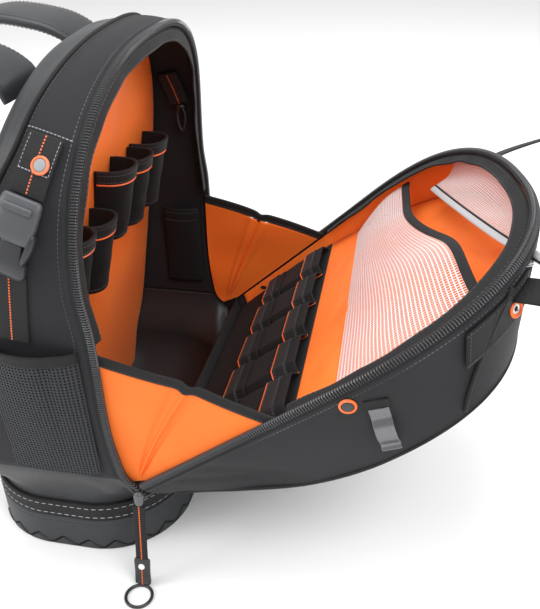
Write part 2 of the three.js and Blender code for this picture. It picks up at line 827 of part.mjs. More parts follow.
// Loop of the lid at a depth share from rim (0) to outer face (1), closed across the hinge
const lidLoopSteps = 30;
function lidLoop( depth, inset, drop = 0 ) {

	const hingeSteps = 6;
	const points = steps( lidLoopSteps ).map( ( share ) => {

		const rim = archPoint( share, lidArch, inset );
		const face = archPoint( share, faceArch, inset );
		const plainFace = archPoint( share, faceArch );
		const along = lerp( rim.up, face.up, depth ) + ( share === 0 || share === 1 ? Math.max( 0, inset ) : 0 );
		return [ lerp( rim.across, face.across, depth ), Math.max( along, Math.max( 0, inset ) ),
			depth * faceDepth( plainFace.up ) - drop ];

	} );
	const end = points[ lidLoopSteps ];
	const start = points[ 0 ];
	const hinge = steps( hingeSteps ).slice( 1, hingeSteps ).map( ( t ) =>
		[ lerp( end[ 0 ], start[ 0 ], t ), end[ 1 ], end[ 2 ] ] );
	return [ ...points, ...hinge ];

}

// The same loop drawn in toward the middle of the face, lying on it
function faceLoop( shrink, inset, drop ) {

	const middle = lidFaceLength * 0.4;
	return lidLoop( 1, inset ).map( ( [ x, along ] ) => {

		const drawn = lerp( middle, along, shrink );
		return [ x * shrink, drawn, faceDepth( drawn ) - drop ];

	} );

}

const faceShrinks = [ 0.33, 0.66, 1 ];

function makeLid() {

	const corner = lidEdgeBevel / 3;
	addPart( 'lid_shell', stack( [
		...faceShrinks.map( ( shrink ) => faceLoop( shrink, lidEdgeBevel, 0 ) ),
		lidLoop( 1, corner, corner / 2 ),
		lidLoop( 0.9, 0 ),
		lidLoop( 0.45, - wallBulge ),
		lidLoop( 0, 0 ),
		lidLoop( 0, shellWall ),
		lidLoop( 0.45, shellWall - wallBulge ),
		lidLoop( 0.9, shellWall ),
		...faceShrinks.slice().reverse().map( ( shrink ) => faceLoop( shrink, lidEdgeBevel + 1, shellWall ) ),
	] ), 'twill', lid );

	const route = steps( 32 ).map( ( t ) => {

		const p = archPoint( lerp( 0.02, 0.98, t ), faceArch );
		return new THREE.Vector3( p.across, p.up, faceDepth( p.up ) + gap / 2 );

	} );
	addPart( 'lid_piping', stack( route.map( ( at, k ) => {

		const run = route[ Math.min( route.length - 1, k + 1 ) ].clone().sub( route[ Math.max( 0, k - 1 ) ] ).normalize();
		const thick = new THREE.Vector3( 0, 0, 1 );
		const wide = new THREE.Vector3().crossVectors( run, thick ).normalize();
		return roundSection( 5 ).map( ( [ a, b ] ) => at.clone().addScaledVector( wide, a * pipingRadius )
			.addScaledVector( thick, b * pipingRadius ).toArray() );

	} ) ), 'webbing', lid );

	// Hinge: a folded strip between the sill and the lid's lower edge
	const hingeHalf = halfAt( tubHeight, bodyArch ) - tubCornerRadius;
	const wedge = [
		lidPoint( 0, - gap, 2 ),
		lidPoint( 0, - gap, 13 ),
		[ 0, - baseDepth / 2 + tubInset - 1, sillHeight + gap ],
		[ 0, - baseDepth / 2 + tubInset - 1 + shellWall, sillHeight + gap ],
	];
	addPart( 'hinge_strip', stack( [ - hingeHalf, hingeHalf ].map( ( x ) =>
		wedge.map( ( p ) => [ x, p[ 1 ], p[ 2 ] ] ) ) ), 'webbing' );

}

// Half width inside the lid at a place along it and a depth below the rim
function lidInside( along, out ) {

	const spot = ( share ) => {

		const rim = archPoint( share, lidArch, shellWall + facetGap );
		const face = archPoint( share, faceArch, shellWall + facetGap );
		const depth = clamp01( out / faceDepth( archPoint( share, faceArch ).up ) );
		return { half: - lerp( rim.across, face.across, depth ), up: lerp( rim.up, face.up, depth ) };

	};

	let low = 0;
	let high = 0.5;
	for ( let i = 0; i < 24; i ++ ) {

		const middle = ( low + high ) / 2;
		if ( spot( middle ).up < along ) low = middle;
		else high = middle;

	}

	return { half: spot( low ).half, top: spot( 0.4999 ).up };

}

// Sheet spread inside the lid between two lines given along it, at depths below the rim
function lidSheet( name, finish, start, end, depthAt, thickness, across, rows, reach ) {

	const face = ( below ) => ( u, v ) => {

		const side = 2 * u - 1;
		const x = side * reach;
		const along = lerp( start( x ), end( x ), v );
		const out = depthAt( v, along, x );
		const { half } = lidInside( along, out );
		return [ Math.sign( x ) * Math.min( Math.abs( x ), half - gap ), along, out + below ];

	};

	addPart( name, sheet( face( 0 ), face( thickness ), across, rows ), finish, lid );

}

const largeNetFoot = lidLength - largeNetFootDrop;
const largeNetMouth = ( x ) => lidLength - largeNetMouthDrop - largeNetSwing * Math.tanh( x / largeNetSwingWidth ) +
	largeNetWave * Math.cos( x / largeNetWaveWidth );
const tipNetMouth = ( x ) => lidLength - tipNetMouthDrop - tipNetLean * x;

function makeLidInside() {

	const rows = [ 0, 0.2, 0.4, 0.55, 0.68, 0.79, 0.88, 0.94, 0.975, 0.994, 1 ];
	const start = shellWall + 5 * gap;
	const lining = ( below ) => ( u, v ) => {

		const share = rows[ Math.round( v * ( rows.length - 1 ) ) ];
		const top = lidInside( lidLength * 0.98, liningDepth ).top;
		const along = lerp( start, top, share );
		const out = liningAt( along );
		const half = share === 1 ? 0 : lidInside( along, out ).half - gap;
		return [ half * ( 2 * u - 1 ), along, out + below ];

	};

	addPart( 'lid_lining', sheet( lining( 0 ), lining( liningThickness ), 6, rows.length - 1 ), 'orange', lid );

	// Tool loops: a webbing sewn down between arches
	const loopRow = ( name, centre ) => {

		const wave = ( u ) => Math.min( 1, 2.2 * Math.abs( Math.sin( Math.PI * loopCount * u ) ) ) * loopHeight;
		const face = ( inset ) => ( u, v ) => {

			const along = centre + ( v - 0.5 ) * loopWebWidth;
			return [ loopReach * ( 2 * u - 1 ), along, liningAt( along ) - gap - inset - wave( u ) ];

		};

		addPart( name, sheet( face( 0 ), face( loopWebThickness ), loopCount * 6, 1 ), 'webbing', lid );

	};

	loopRow( 'tool_loops_lower', lowerLoopSet );
	loopRow( 'tool_loops_upper', upperLoopSet );

	// Net pockets, open toward the tip and toward the hinge
	const netRise = ( v ) => Math.sin( Math.PI / 2 * v );
	const largeDepth = ( v, along ) => liningAt( along ) - gap - netThickness - largeNetRise * netRise( v );
	lidSheet( 'net_pocket_large', 'paleNet', () => largeNetFoot, largeNetMouth, largeDepth, netThickness, 12, 3, largeNetReach );
	const mouthDepth = ( x ) => largeDepth( 1, largeNetMouth( x ) );
	lidSheet( 'net_binding_large', 'webbing', ( x ) => largeNetMouth( x ) + gap, ( x ) => largeNetMouth( x ) + netBindingWidth,
		( v, along, x ) => mouthDepth( x ) - netThickness, netBindingThickness, 12, 1, largeNetReach );
	const tipEdge = ( x ) => lidSpring + ( lidLength - tipNetEdgeDrop - lidSpring ) *
		( 1 - clamp01( Math.abs( x ) / ( lidWidth / 2 - 2 * shellWall ) ) ** lidPower ) ** ( 1 / lidPower );
	const tipDepth = ( v ) => lerp( tipNetDepth, tipNetEdgeDepth, v );
	lidSheet( 'net_pocket_tip', 'paleNet', tipNetMouth, tipEdge, tipDepth, netThickness, 12, 2, tipNetReach );

}

// Point on the lid's outer side wall, by share round the rim and depth share, set out along its normal
const wallBulge = 1;
function lidWall( share, depth, outset = 0 ) {

	const plain = ( s, d ) => {

		const swell = wallBulge * Math.min( 1, d / 0.45 );
		const rim = archPoint( s, lidArch, - swell );
		const face = archPoint( s, faceArch, - swell );
		return new THREE.Vector3( lerp( rim.across, face.across, d ), lerp( rim.up, face.up, d ),
			d * faceDepth( archPoint( s, faceArch ).up ) );

	};

	const small = 0.002;
	const round = plain( share + small, depth ).sub( plain( share - small, depth ) );
	const down = plain( share, depth + small ).sub( plain( share, depth - small ) );
	const normal = round.clone().cross( down ).normalize();
	if ( normal.x * ( share - 0.5 ) < 0 ) normal.negate();
	const at = plain( share, depth ).addScaledVector( normal, outset );
	return { at: at.toArray(), normal: normal.toArray(), round: round.normalize().toArray() };

}

// Round rivet: a disc whose axis follows the wall it sits on
function rivet( centre, normal, radius, height, hole = 0 ) {

	const axis = new THREE.Vector3( ...normal ).normalize();
	const turn = new THREE.Quaternion().setFromUnitVectors( new THREE.Vector3( 0, 0, 1 ), axis );
	const loop = ( r, h ) => roundSection( 12 ).map( ( [ a, b ] ) =>
		new THREE.Vector3( a * r, b * r, h ).applyQuaternion( turn ).add( new THREE.Vector3( ...centre ) ).toArray() );
	const bevel = height * 0.3;
	const outside = [ loop( radius, 0 ), loop( radius, height - bevel ), loop( radius - bevel, height ) ];
	if ( hole > 0 ) return stack( [ ...outside, loop( hole, height ), loop( hole, 0 ) ], true );
	return stack( outside );

}

function makeLidOutside() {

	// Padded front pocket on the outer face, above the webbing rows
	const face = ( out ) => ( u, v ) => {

		const along = lerp( frontPocketFoot, lidFaceLength - frontPocketTopDrop, v );
		const half = halfAt( along, faceArch, lidEdgeBevel + 6 );
		const crown = frontPocketDepth * Math.min( 1, 6 * Math.min( u, 1 - u, v, 1 - v ) );
		return [ half * ( 2 * u - 1 ), along, faceDepth( along ) + 2 * gap + ( out ? Math.max( faceWebThickness, crown ) : 0 ) ];

	};

	addPart( 'front_pocket', sheet( face( 0 ), face( 1 ), 6, 6 ), 'twill', lid );

	// Two rows of webbing sewn flat across the face below the pocket
	for ( const [ name, centre ] of [ [ 'lower', lowerFaceWebSet ], [ 'upper', upperFaceWebSet ] ] ) {

		const row = ( off ) => ( u, v ) => {

			const along = centre + ( v - 0.5 ) * faceWebWidth;
			return [ faceWebReach * ( 2 * u - 1 ), along, faceDepth( along ) + 2.4 * gap + off ];

		};

		addPart( `face_webbing_${ name }`, sheet( row( 0 ), row( faceWebThickness ), 2, 2 ), 'webbing', lid );

	}

	// Straps that pass out of the tip at both sides, each held by an eyelet
	const eyeletPlace = { share: 0.388, depth: 0.317 };
	const strapPlace = { share: 0.393, depth: 0.2 };
	for ( const [ name, sign ] of [ [ 'left', - 1 ], [ 'right', 1 ] ] ) {

		const turnSide = ( [ x, a, o ] ) => [ - sign * x, a, o ];
		const seat = lidWall( strapPlace.share, strapPlace.depth, gap );
		const frames = steps( 6 ).map( ( t ) => {

			const reach = tipStrapReach * t;
			const droop = tipStrapReach * ( 0.3 * t + 0.1 * t * t );
			const at = [ seat.at[ 0 ] + reach * seat.normal[ 0 ], seat.at[ 1 ] + reach * 0.8, seat.at[ 2 ] + droop ];
			return { at: turnSide( at ), wide: turnSide( seat.round ), thick: [ 0, - 0.4, 0.92 ],
				halfWide: tipStrapWidth / 2, halfThick: tipStrapThickness / 2 };

		} );
		addPart( `tip_strap_${ name }`, sweep( frames, boxSection ), 'webbing', lid );

	}

	const eyelet = lidWall( eyeletPlace.share, eyeletPlace.depth, - gap );
	addPart( 'tip_eyelet_left', rivet( eyelet.at, eyelet.normal, rivetRadius, rivetHeight, rivetRadius * 0.52 ), 'orange', lid );

	// Rivet and sprung clip on the left wall
	const clipShare = shareAt( clipHeightSet, lidArch );
	const seat = lidWall( clipShare, 0.12, gap );
	addPart( 'lid_rivet', rivet( seat.at, seat.normal, rivetRadius, rivetHeight ), 'orange', lid );
	const clipTable = [
		{ depth: 0.3, stand: 0.15 },
		{ depth: 0.42, stand: 0.15 },
		{ depth: 0.5, stand: 0.85 },
		{ depth: 0.62, stand: 1 },
		{ depth: 0.74, stand: 0.5 },
		{ depth: 0.8, stand: 0.86 },
	];
	const clipFrames = clipTable.map( ( row ) => {

		const spot = lidWall( clipShare + 0.012, row.depth, gap + clipStand * row.stand );
		return { at: spot.at, wide: [ 0, 1, 0 ], thick: [ 1, 0, 0 ], halfWide: clipWidth / 2, halfThick: clipThickness / 2 };

	} );
	addPart( 'lid_clip', sweep( clipFrames, boxSection ), 'steel', lid );

}

function makeSides() {

	const strapTop = bodyHeight - sideStrapTopDrop;
	const strap = { top: { y: sideStrapTopSet, z: strapTop }, low: { y: sideStrapLowSet, z: strapTop - sideStrapHeight } };
	const slope = ( strap.low.y - strap.top.y ) / ( strap.low.z - strap.top.z );
	const place = ( z ) => ( { y: strap.low.y + slope * ( z - strap.low.z ), z } );
	for ( const [ name, sign ] of [ [ 'left', - 1 ], [ 'right', 1 ] ] ) {

		const put = sideOf( sign );
		const stand = ( u, v ) => netPocketBulge * Math.sin( Math.PI * clamp01( u ) ) ** 0.6 * lerp( 0.25, 1, v );
		const net = ( inset ) => ( u, v ) => put( leftPoint( lerp( netPocketFront, netPocketRear, u ), lerp( netPocketFoot, netPocketTop, v ),
			gap + hemThickness - inset + stand( u, v ) ) );
		const columns = 2 * netHoleColumns + 1;
		const rows = 2 * netHoleRows + 1;
		addPart( `side_net_${ name }`, sheet( net( 2 * gap ), net( 2 * gap + sideNetThickness ), columns, rows,
			( i, j ) => i % 2 === 1 && j % 2 === 1 ), 'net' );
		const hem = ( inset ) => ( u, v ) => put( leftPoint( lerp( netPocketFront, netPocketRear, u ),
			lerp( netPocketTop + gap, netPocketTop + hemHeight, v ), gap + hemThickness - inset + stand( u, 1 ) ) );
		addPart( `side_net_hem_${ name }`, sheet( hem( 0 ), hem( hemThickness - gap / 2 ), 9, 1 ), 'webbing' );

		// Compression strap down to its buckle
		const web = ( from, to, outset ) => ( u, v ) => put( leftPoint(
			lerp( from.y, to.y, v ) + ( u - 0.5 ) * sideStrapWidth, lerp( from.z, to.z, v ), outset ) );
		addPart( `side_strap_${ name }`, sheet( web( strap.top, strap.low, gap + sideStrapThickness ),
			web( strap.top, strap.low, gap ), 2, 5 ), 'webbing' );
		const shape = [ [ 0, 0.72, 0.5 ], [ 0.1, 0.86, 0.8 ], [ 0.35, 1, 1 ], [ 0.6, 0.92, 1 ], [ 0.85, 1, 0.9 ], [ 1, 0.8, 0.6 ] ];
		const frames = shape.map( ( [ t, wide, thick ] ) => {

			const spot = place( strap.low.z - 1 - buckleLength * t );
			return { at: put( leftPoint( spot.y, spot.z, gap + buckleThickness / 2 ) ), wide: [ 0, 1, 0 ], thick: [ 1, 0, 0 ],
				halfWide: buckleWidth / 2 * wide, halfThick: buckleThickness / 2 * thick };

		} );
		addPart( `side_buckle_${ name }`, sweep( frames, softSection ), 'plastic' );
		const below = place( strap.low.z - buckleLength - 2 );
		const last = { y: sideStrapEndSet, z: netPocketTop + hemHeight + sideStrapEndGap };
		addPart( `side_strap_end_${ name }`, sheet( web( below, last, gap + sideStrapThickness ),
			web( below, last, gap ), 2, 4 ), 'webbing' );

	}

	const { y, z } = place( strapTop - sideRivetDrop );
	const spot = leftPoint( y - sideRivetShift, z, 3 * gap + sideStrapThickness );
	const inside = leftPoint( y - sideRivetShift, z, 0 );
	const axis = spot.map( ( value, k ) => value - inside[ k ] );
	addPart( 'side_rivet_left', rivet( spot, axis, rivetRadius, rivetHeight ), 'orange' );

}

// Cushion on the sloping back: outline in width and height, crowned outward
function backCushion( name, centreX, centreZ, halfWide, halfHigh, thickness ) {

	const loop = ( inset, out ) => roundSection( 18 ).map( ( [ a, b ] ) => {

		const bend = ( value ) => Math.sign( value ) * Math.abs( value ) ** 0.45;
		const x = centreX + ( halfWide - inset ) * bend( a );
		const z = centreZ + ( halfHigh - inset ) * bend( b );
		return [ x, backY( z ) + gap + out, z ];

	} );
	addPart( name, stack( [ loop( 2, 0 ), loop( 0, thickness * 0.45 ), loop( 4, thickness * 0.85 ), loop( 14, thickness ) ] ), 'rearCloth' );

}

function makeHarness() {

	const padMiddle = bodyHeight - backPadDrop;
	backCushion( 'back_pad_left', - backPadSpread, padMiddle, backPadHalfWidth, backPadHalfHeight, backPadThickness );
	backCushion( 'back_pad_right', backPadSpread, padMiddle, backPadHalfWidth, backPadHalfHeight, backPadThickness );
	backCushion( 'lumbar_pad', 0, lumbarPadHeight, lumbarPadHalfWidth, lumbarPadHalfHeight, lumbarPadThickness );
	for ( const [ name, sign ] of [ [ 'left', - 1 ], [ 'right', 1 ] ] ) {

		const curve = new THREE.CatmullRomCurve3( shoulderTable.map( ( row ) => {

			const z = row.up * ( bodyHeight + 2 );
			const seat = gap + lerp( shoulderWebThickness, shoulderThickness, row.padded ) / 2;
			const y = Math.max( backY( z ), z < tubHeight ? backY( tubHeight ) + shellWall + 5 * gap : 0 );
			return new THREE.Vector3( sign * ( shoulderSpread + shoulderOut * row.out ), y + seat + row.behind * shoulderReach, z );

		} ) );
		const count = 20;
		const frames = steps( count ).map( ( t ) => {

			const run = curve.getTangent( t );
			const thick = new THREE.Vector3().crossVectors( run, new THREE.Vector3( 1, 0, 0 ) ).normalize();
			const wide = new THREE.Vector3().crossVectors( thick, run ).normalize();
			const place = t * ( shoulderTable.length - 1 );
			const k = Math.min( shoulderTable.length - 2, Math.floor( place ) );
			const padded = lerp( shoulderTable[ k ].padded, shoulderTable[ k + 1 ].padded, place - k );
			return { at: curve.getPoint( t ).toArray(), wide: wide.toArray(), thick: thick.toArray(),
				halfWide: lerp( shoulderWebWidth, shoulderWidth, padded ) / 2,
				halfThick: lerp( shoulderWebThickness, shoulderThickness, padded ) / 2 };

		} );
		addPart( `shoulder_strap_${ name }`, sweep( frames, softSection ), 'rearCloth' );

	}

}

function makePull() {

	const top = zipFootHeight + 5;
	const x = ( z ) => - halfAt( zipFootHeight, zipArch ) - sliderThickness / 2 - gap - pullLean * ( top - z );
	const y = mouthY( zipFootHeight ) - 3;
	const frame = ( z, halfWide, halfThick ) => ( { at: [ x( z ), y, z ], wide: [ 0, 1, 0 ], thick: [ 1, 0, 0 ],
		halfWide, halfThick } );
	const sliderShape = [ [ 0, 0.6 ], [ 0.2, 1 ], [ 0.8, 0.9 ], [ 1, 0.5 ] ];
	addPart( 'zip_slider', sweep( sliderShape.map( ( [ t, wide ] ) =>
		frame( top - sliderLength * t, sliderWidth / 2 * wide, sliderThickness / 2 ) ), softSection ), 'coil' );
	const webTop = top - sliderLength - gap;
	const tabTop = ringThickness + pullTabLength + gap;
	addPart( 'pull_webbing', sweep( [ webTop, ( webTop + tabTop ) / 2, tabTop + gap ].map( ( z ) =>
		frame( z, pullWebWidth / 2, pullWebThickness / 2 ) ), boxSection ), 'webbing' );
	const tabShape = [ [ 0, 0.8 ], [ 0.1, 1 ], [ 0.9, 1 ], [ 1, 0.8 ] ];
	addPart( 'pull_tab', sweep( tabShape.map( ( [ t, wide ] ) =>
		frame( tabTop - pullTabLength * t, pullTabWidth / 2 * wide, pullTabThickness / 2 ) ), softSection ), 'rubber' );
	const ringSides = 14;
	const ringLoops = steps( ringSides ).slice( 0, ringSides ).map( ( t ) => {

		const turn = 2 * Math.PI * t;
		return roundSection( 6 ).map( ( [ a, b ] ) => {

			const reach = ringRadius + a * ringThickness / 2;
			return [ x( 0 ) - ringRadius + reach * Math.cos( turn ), y + reach * Math.sin( turn ),
				ringThickness / 2 * ( 1 + b ) ];

		} );

	} );
	addPart( 'pull_ring', stack( ringLoops, true ), 'coil' );

}

makeBase();
makeTub();
makeBody();
makeZips();
makeDivider();
makeTubes();
makeGussets();
makeLid();
makeLidInside();
makeLidOutside();
makeSides();
makeHarness();
makePull();

export default backpack;
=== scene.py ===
import json
import bpy
import numpy as np
from mathutils import Matrix, Vector

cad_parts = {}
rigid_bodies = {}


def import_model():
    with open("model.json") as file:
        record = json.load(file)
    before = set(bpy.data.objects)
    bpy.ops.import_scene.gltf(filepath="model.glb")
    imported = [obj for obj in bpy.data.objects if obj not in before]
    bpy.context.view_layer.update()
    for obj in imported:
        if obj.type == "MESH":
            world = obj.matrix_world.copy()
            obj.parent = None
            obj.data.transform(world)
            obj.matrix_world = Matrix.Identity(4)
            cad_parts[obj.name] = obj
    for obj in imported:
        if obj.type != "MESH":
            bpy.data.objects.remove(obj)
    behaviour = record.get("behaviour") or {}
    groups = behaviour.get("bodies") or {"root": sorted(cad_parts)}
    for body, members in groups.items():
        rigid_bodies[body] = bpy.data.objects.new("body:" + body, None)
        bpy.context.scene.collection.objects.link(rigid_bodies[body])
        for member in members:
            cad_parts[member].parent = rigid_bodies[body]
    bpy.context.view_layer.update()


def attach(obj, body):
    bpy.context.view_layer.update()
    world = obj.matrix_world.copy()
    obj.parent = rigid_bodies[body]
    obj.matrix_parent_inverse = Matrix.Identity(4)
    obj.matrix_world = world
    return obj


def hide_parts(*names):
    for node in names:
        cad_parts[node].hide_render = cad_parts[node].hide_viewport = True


# Tool backpack standing open and empty.
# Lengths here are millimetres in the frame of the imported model; addMesh turns them into metres.

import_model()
for spare in [o for o in bpy.data.objects if o.name in ("Cube", "Light", "Camera")]:
    bpy.data.objects.remove(spare)

# camera at the photograph's viewing angle
cameraPlace = {"at": (-624.7, -310.2, 591.5), "right": (0.20025, -0.97948, -0.02279),
               "up": (0.51247, 0.08488, 0.85450), "ahead": (0.83503, 0.18279, -0.51895), "lens": 45.36}
camera = bpy.data.objects.new("viewCamera", bpy.data.cameras.new("viewCamera"))
bpy.context.scene.collection.objects.link(camera)
turn = Matrix([cameraPlace["right"], cameraPlace["up"],
               [-v for v in cameraPlace["ahead"]]]).transposed().to_4x4()
camera.matrix_world = Matrix.Translation([v / 1000 for v in cameraPlace["at"]]) @ turn
camera.data.lens = cameraPlace["lens"]
camera.data.sensor_width = 36
camera.data.clip_start, camera.data.clip_end = 0.01, 20
bpy.context.scene.camera = camera


# sizes shared by several pieces, the same as the model's own
body = {"half": 170, "foot": 112, "spring": 287, "top": 460, "power": 2.6, "narrowing": 0.03}
zipArch = dict(body, foot=97)
lidRim = {"half": 176, "foot": 0, "spring": 206, "top": 385, "power": 2.4, "narrowing": 0.05}
lidFace = {"half": 160, "foot": 0, "spring": 160, "top": 325, "power": 4, "narrowing": 0.05}
base = {"width": 308, "depth": 200, "height": 38, "corner": 80, "wall": 4.6, "floor": 7, "band": 19,
        "bandThick": 3.2}
wall, gap, corner = 4, 0.4, 18
tubInset = base["wall"] + gap
bandTop = base["height"] + base["band"]
mouthRows = [(0, -0.42), (0.04, -0.35), (0.1, -0.325), (0.2, -0.307), (0.45, -0.307), (0.56, -0.29),
             (0.7, -0.3),
             (0.88, -0.34), (1, -0.375)]
pipingRows = [(0, 0.87), (0.69, 0.87), (0.76, 0.84), (0.82, 0.77), (0.88, 0.63), (0.93, 0.58), (1, 0.46)]
lidDepthRows = [(0, 0.24), (0.115, 0.4), (0.2, 0.55), (0.4, 0.86), (0.6, 1), (1, 0.98)]
liningRows = [(0, 0.26), (0.38, 0.3), (0.62, 0.6), (0.82, 0.85), (1, 1)]
lidTilt = np.radians(39.5)
lidLean = {"skew": 0.2, "twist": 0.1}


def lerp(a, b, t):
    return a + (b - a) * t


def ease(t):
    t = np.clip(t, 0, 1)
    return t * t * (3 - 2 * t)


def readRows(rows, x):
    # a cubic through rows of (place, value), with slopes taken from each row's neighbours
    keys = np.array(rows, float)
    xs, ys = keys[:, 0], keys[:, 1]
    before, after = np.maximum(np.arange(len(xs)) - 1, 0), np.minimum(np.arange(len(xs)) + 1, len(xs) - 1)
    slope = (ys[after] - ys[before]) / (xs[after] - xs[before])
    x = np.asarray(x, float)
    i = np.clip(np.searchsorted(xs, x) - 1, 0, len(xs) - 2)
    span = xs[i + 1] - xs[i]
    t = np.clip((x - xs[i]) / span, 0, 1)
    return ((2 * t**3 - 3 * t**2 + 1) * ys[i] + (t**3 - 2 * t**2 + t) * span * slope[i]
            + (3 * t**2 - 2 * t**3) * ys[i + 1] + (t**3 - t**2) * span * slope[i + 1])


def taper(arch, up):
    return (1 - arch["narrowing"] * (1 - np.clip((up - arch["foot"]) / (arch["spring"] - arch["foot"]), 0,
                                                 1)) ** 2)


def archPoint(share, arch, inset=0):
    # straight sides for the first 0.26 of the outline at each end, then a superellipse over the top
    share = np.asarray(share, float)
    side = np.where(share < 0.5, -1, 1)
    run = np.minimum(share, 1 - share)
    upSide = lerp(arch["foot"], arch["spring"], run / 0.26)
    angle = np.clip((run - 0.26) / 0.24, 0, 1) * np.pi / 2
    power = 2 / arch["power"]
    across = np.where(run <= 0.26, arch["half"] * taper(arch, upSide) - inset,
                      (arch["half"] - inset) * np.abs(np.cos(angle)) ** power)
    up = np.where(run <= 0.26, upSide, arch["spring"] + (arch["top"] - inset - arch["spring"])
                  * np.sin(angle) ** power)
    return side * across, up


def shareAt(up, arch):
    up = np.asarray(up, float)
    rise = np.clip((up - arch["spring"]) / (arch["top"] - arch["spring"]), 0, 1)
    return np.where(up <= arch["spring"], 0.26 * (up - arch["foot"]) / (arch["spring"] - arch["foot"]),
                    0.26 + 0.24 * np.arcsin(rise ** (arch["power"] / 2)) / (np.pi / 2))


def halfAt(up, arch, inset=0):
    up = np.asarray(up, float)
    rise = np.clip((up - arch["spring"]) / (arch["top"] - inset - arch["spring"]), 0, 1)
    return np.where(up <= arch["spring"], arch["half"] * taper(arch, up) - inset,
                    (arch["half"] - inset) * (1 - rise ** arch["power"]) ** (1 / arch["power"]))


def evenShares(arch, count, start=0.0, end=1.0):
    # shares of an outline that are evenly far apart along it
    fine = np.linspace(start, end, 4000)
    x, up = archPoint(fine, arch)
    length = np.concatenate([[0], np.cumsum(np.hypot(np.diff(x), np.diff(up)))])
    return np.interp(np.linspace(0, length[-1], count), length, fine)


# heights of the tray's rim, the mouth's foot, the tub's top and the arch's top;
# the back and the divider slope forward between a place at the tray and one at the top
heightOf = {"tray": 38, "mouth": 97, "tub": 112, "top": 460}
slopes = {"back": (97, -8), "divider": (36, -32)}


def shareUp(z, foot):
    # how far a height lies between a foot and the arch's top
    return (np.asarray(z, float) - heightOf[foot]) / (heightOf["top"] - heightOf[foot])


def mouthY(z):
    return base["depth"] * readRows(mouthRows, shareUp(z, "mouth"))


def backY(z):
    return lerp(*slopes["back"], shareUp(z, "tray"))


def dividerY(z):
    return lerp(*slopes["divider"], shareUp(z, "tray"))


def pipingY(z):
    return lerp(mouthY(z), backY(z), readRows(pipingRows, np.asarray(z, float) / heightOf["top"]))


def sidePoint(share, y, outset=0):
    # the body's side skin: the outline moved outward by a swell that is widest midway from mouth to back
    plainUp = archPoint(share, body)[1]
    start = mouthY(plainUp)
    depth = np.clip((y - start) / (backY(plainUp) - corner - start), 0, 1)
    swell = 3 * np.sin(np.pi * depth) * ease((plainUp - 112) / 112)
    x, up = archPoint(share, body, -(outset + swell))
    return np.stack(np.broadcast_arrays(x, y, up), -1)


def leftPoint(y, z, outset=0):
    return sidePoint(shareAt(z, body), y, outset)


lidSize = {"long": 385, "faceLong": 325, "deep": 83, "liningDeep": 40, "hinge": (-93, 103)}


def lidWorld(x, along, out):
    # place of a point given across the lid, along it from the hinge, and outward from its rim;
    # the rim leans toward the tip's left corner and drops there, and this fades toward the outer face
    x, along, out = np.broadcast_arrays(*(np.asarray(v, float) for v in (x, along, out)))
    share = np.clip(along / lidSize["long"], 0, 1) ** 2 * (1 - np.clip(out / lidSize["deep"], 0, 1))
    along, out = along - lidLean["skew"] * x * share, out - lidLean["twist"] * x * share
    hingeY, hingeZ = lidSize["hinge"]
    return np.stack([x, hingeY - along * np.cos(lidTilt) - out * np.sin(lidTilt),
                     hingeZ + along * np.sin(lidTilt) - out * np.cos(lidTilt)], -1)


def faceDepth(along):
    return (lidSize["deep"] * readRows(lidDepthRows, np.clip(np.asarray(along, float) / lidSize["faceLong"],
                                                             0,
                                                             1)))


def liningAt(along):
    return (lidSize["liningDeep"] * readRows(liningRows, np.clip(np.asarray(along, float) / lidSize["long"],
                                                                 0,
                                                                 1)))


def mirrored(points, side):
    return points * np.array([-side, 1, 1])


def ripple(points, size, seed, waves=7):
    # soft unevenness: the mean of a few sine waves whose directions and lengths come from a seeded table
    table = np.random.default_rng(seed)
    ways = table.normal(size=(waves, 3))
    ways *= (2 * np.pi / (np.asarray(size, float) * table.uniform(0.7, 1.5,
                                                                  (waves, 1)))) / np.linalg.norm(ways, axis=1,
                                                                                                 keepdims=True)
    return np.sin(points @ ways.T + table.uniform(0, 6.3, waves)).mean(-1) * 1.6


def crease(points, start, end, width):
    # 1 on a straight line between two points, falling to 0 over a width
    start, end = np.array(start, float), np.array(end, float)
    way = end - start
    t = np.clip(((points - start) @ way) / (way @ way), 0, 1)
    far = np.linalg.norm(points - start - t[..., None] * way, axis=-1)
    return np.exp(-(far / width) ** 2)


def unit(v):
    return v / np.maximum(np.linalg.norm(v, axis=-1, keepdims=True), 1e-9)


def gridNormals(points, outFrom=None, facing=None):
    # normals of a grid of points, turned away from a point or toward a direction
    normal = unit(np.cross(np.gradient(points, axis=0), np.gradient(points, axis=1)))
    ways = points - np.array(outFrom, float) if outFrom is not None else np.array(facing, float)
    return normal * (1 if (normal * ways).sum(-1).mean() >= 0 else -1)


# meshes
looks = {}


def addMesh(name, points, faces, look, uv=None, replaces=(), thick=0, side=-1, levels=0, shade=True):
    mesh = bpy.data.meshes.new(name)
    mesh.from_pydata((np.asarray(points).reshape(-1, 3) / 1000).tolist(), [], faces)
    for entry in ([look] if isinstance(look, str) else look):
        mesh.materials.append(looks[entry])
    if uv is not None:
        layer = mesh.uv_layers.new(name="cloth")
        layer.data.foreach_set("uv", (np.asarray(uv, float) / 1000).ravel())
    if shade:
        mesh.shade_smooth()
    mesh.validate()
    piece = bpy.data.objects.new(name, mesh)
    bpy.context.scene.collection.objects.link(piece)
    if thick:
        shell = piece.modifiers.new("thickness", "SOLIDIFY")
        shell.thickness, shell.offset, shell.use_even_offset = thick / 1000, side, False
    if levels:
        smooth = piece.modifiers.new("smooth", "SUBSURF")
        smooth.levels = smooth.render_levels = levels
    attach(piece, "root")
    if replaces:
        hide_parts(*replaces)
    return piece


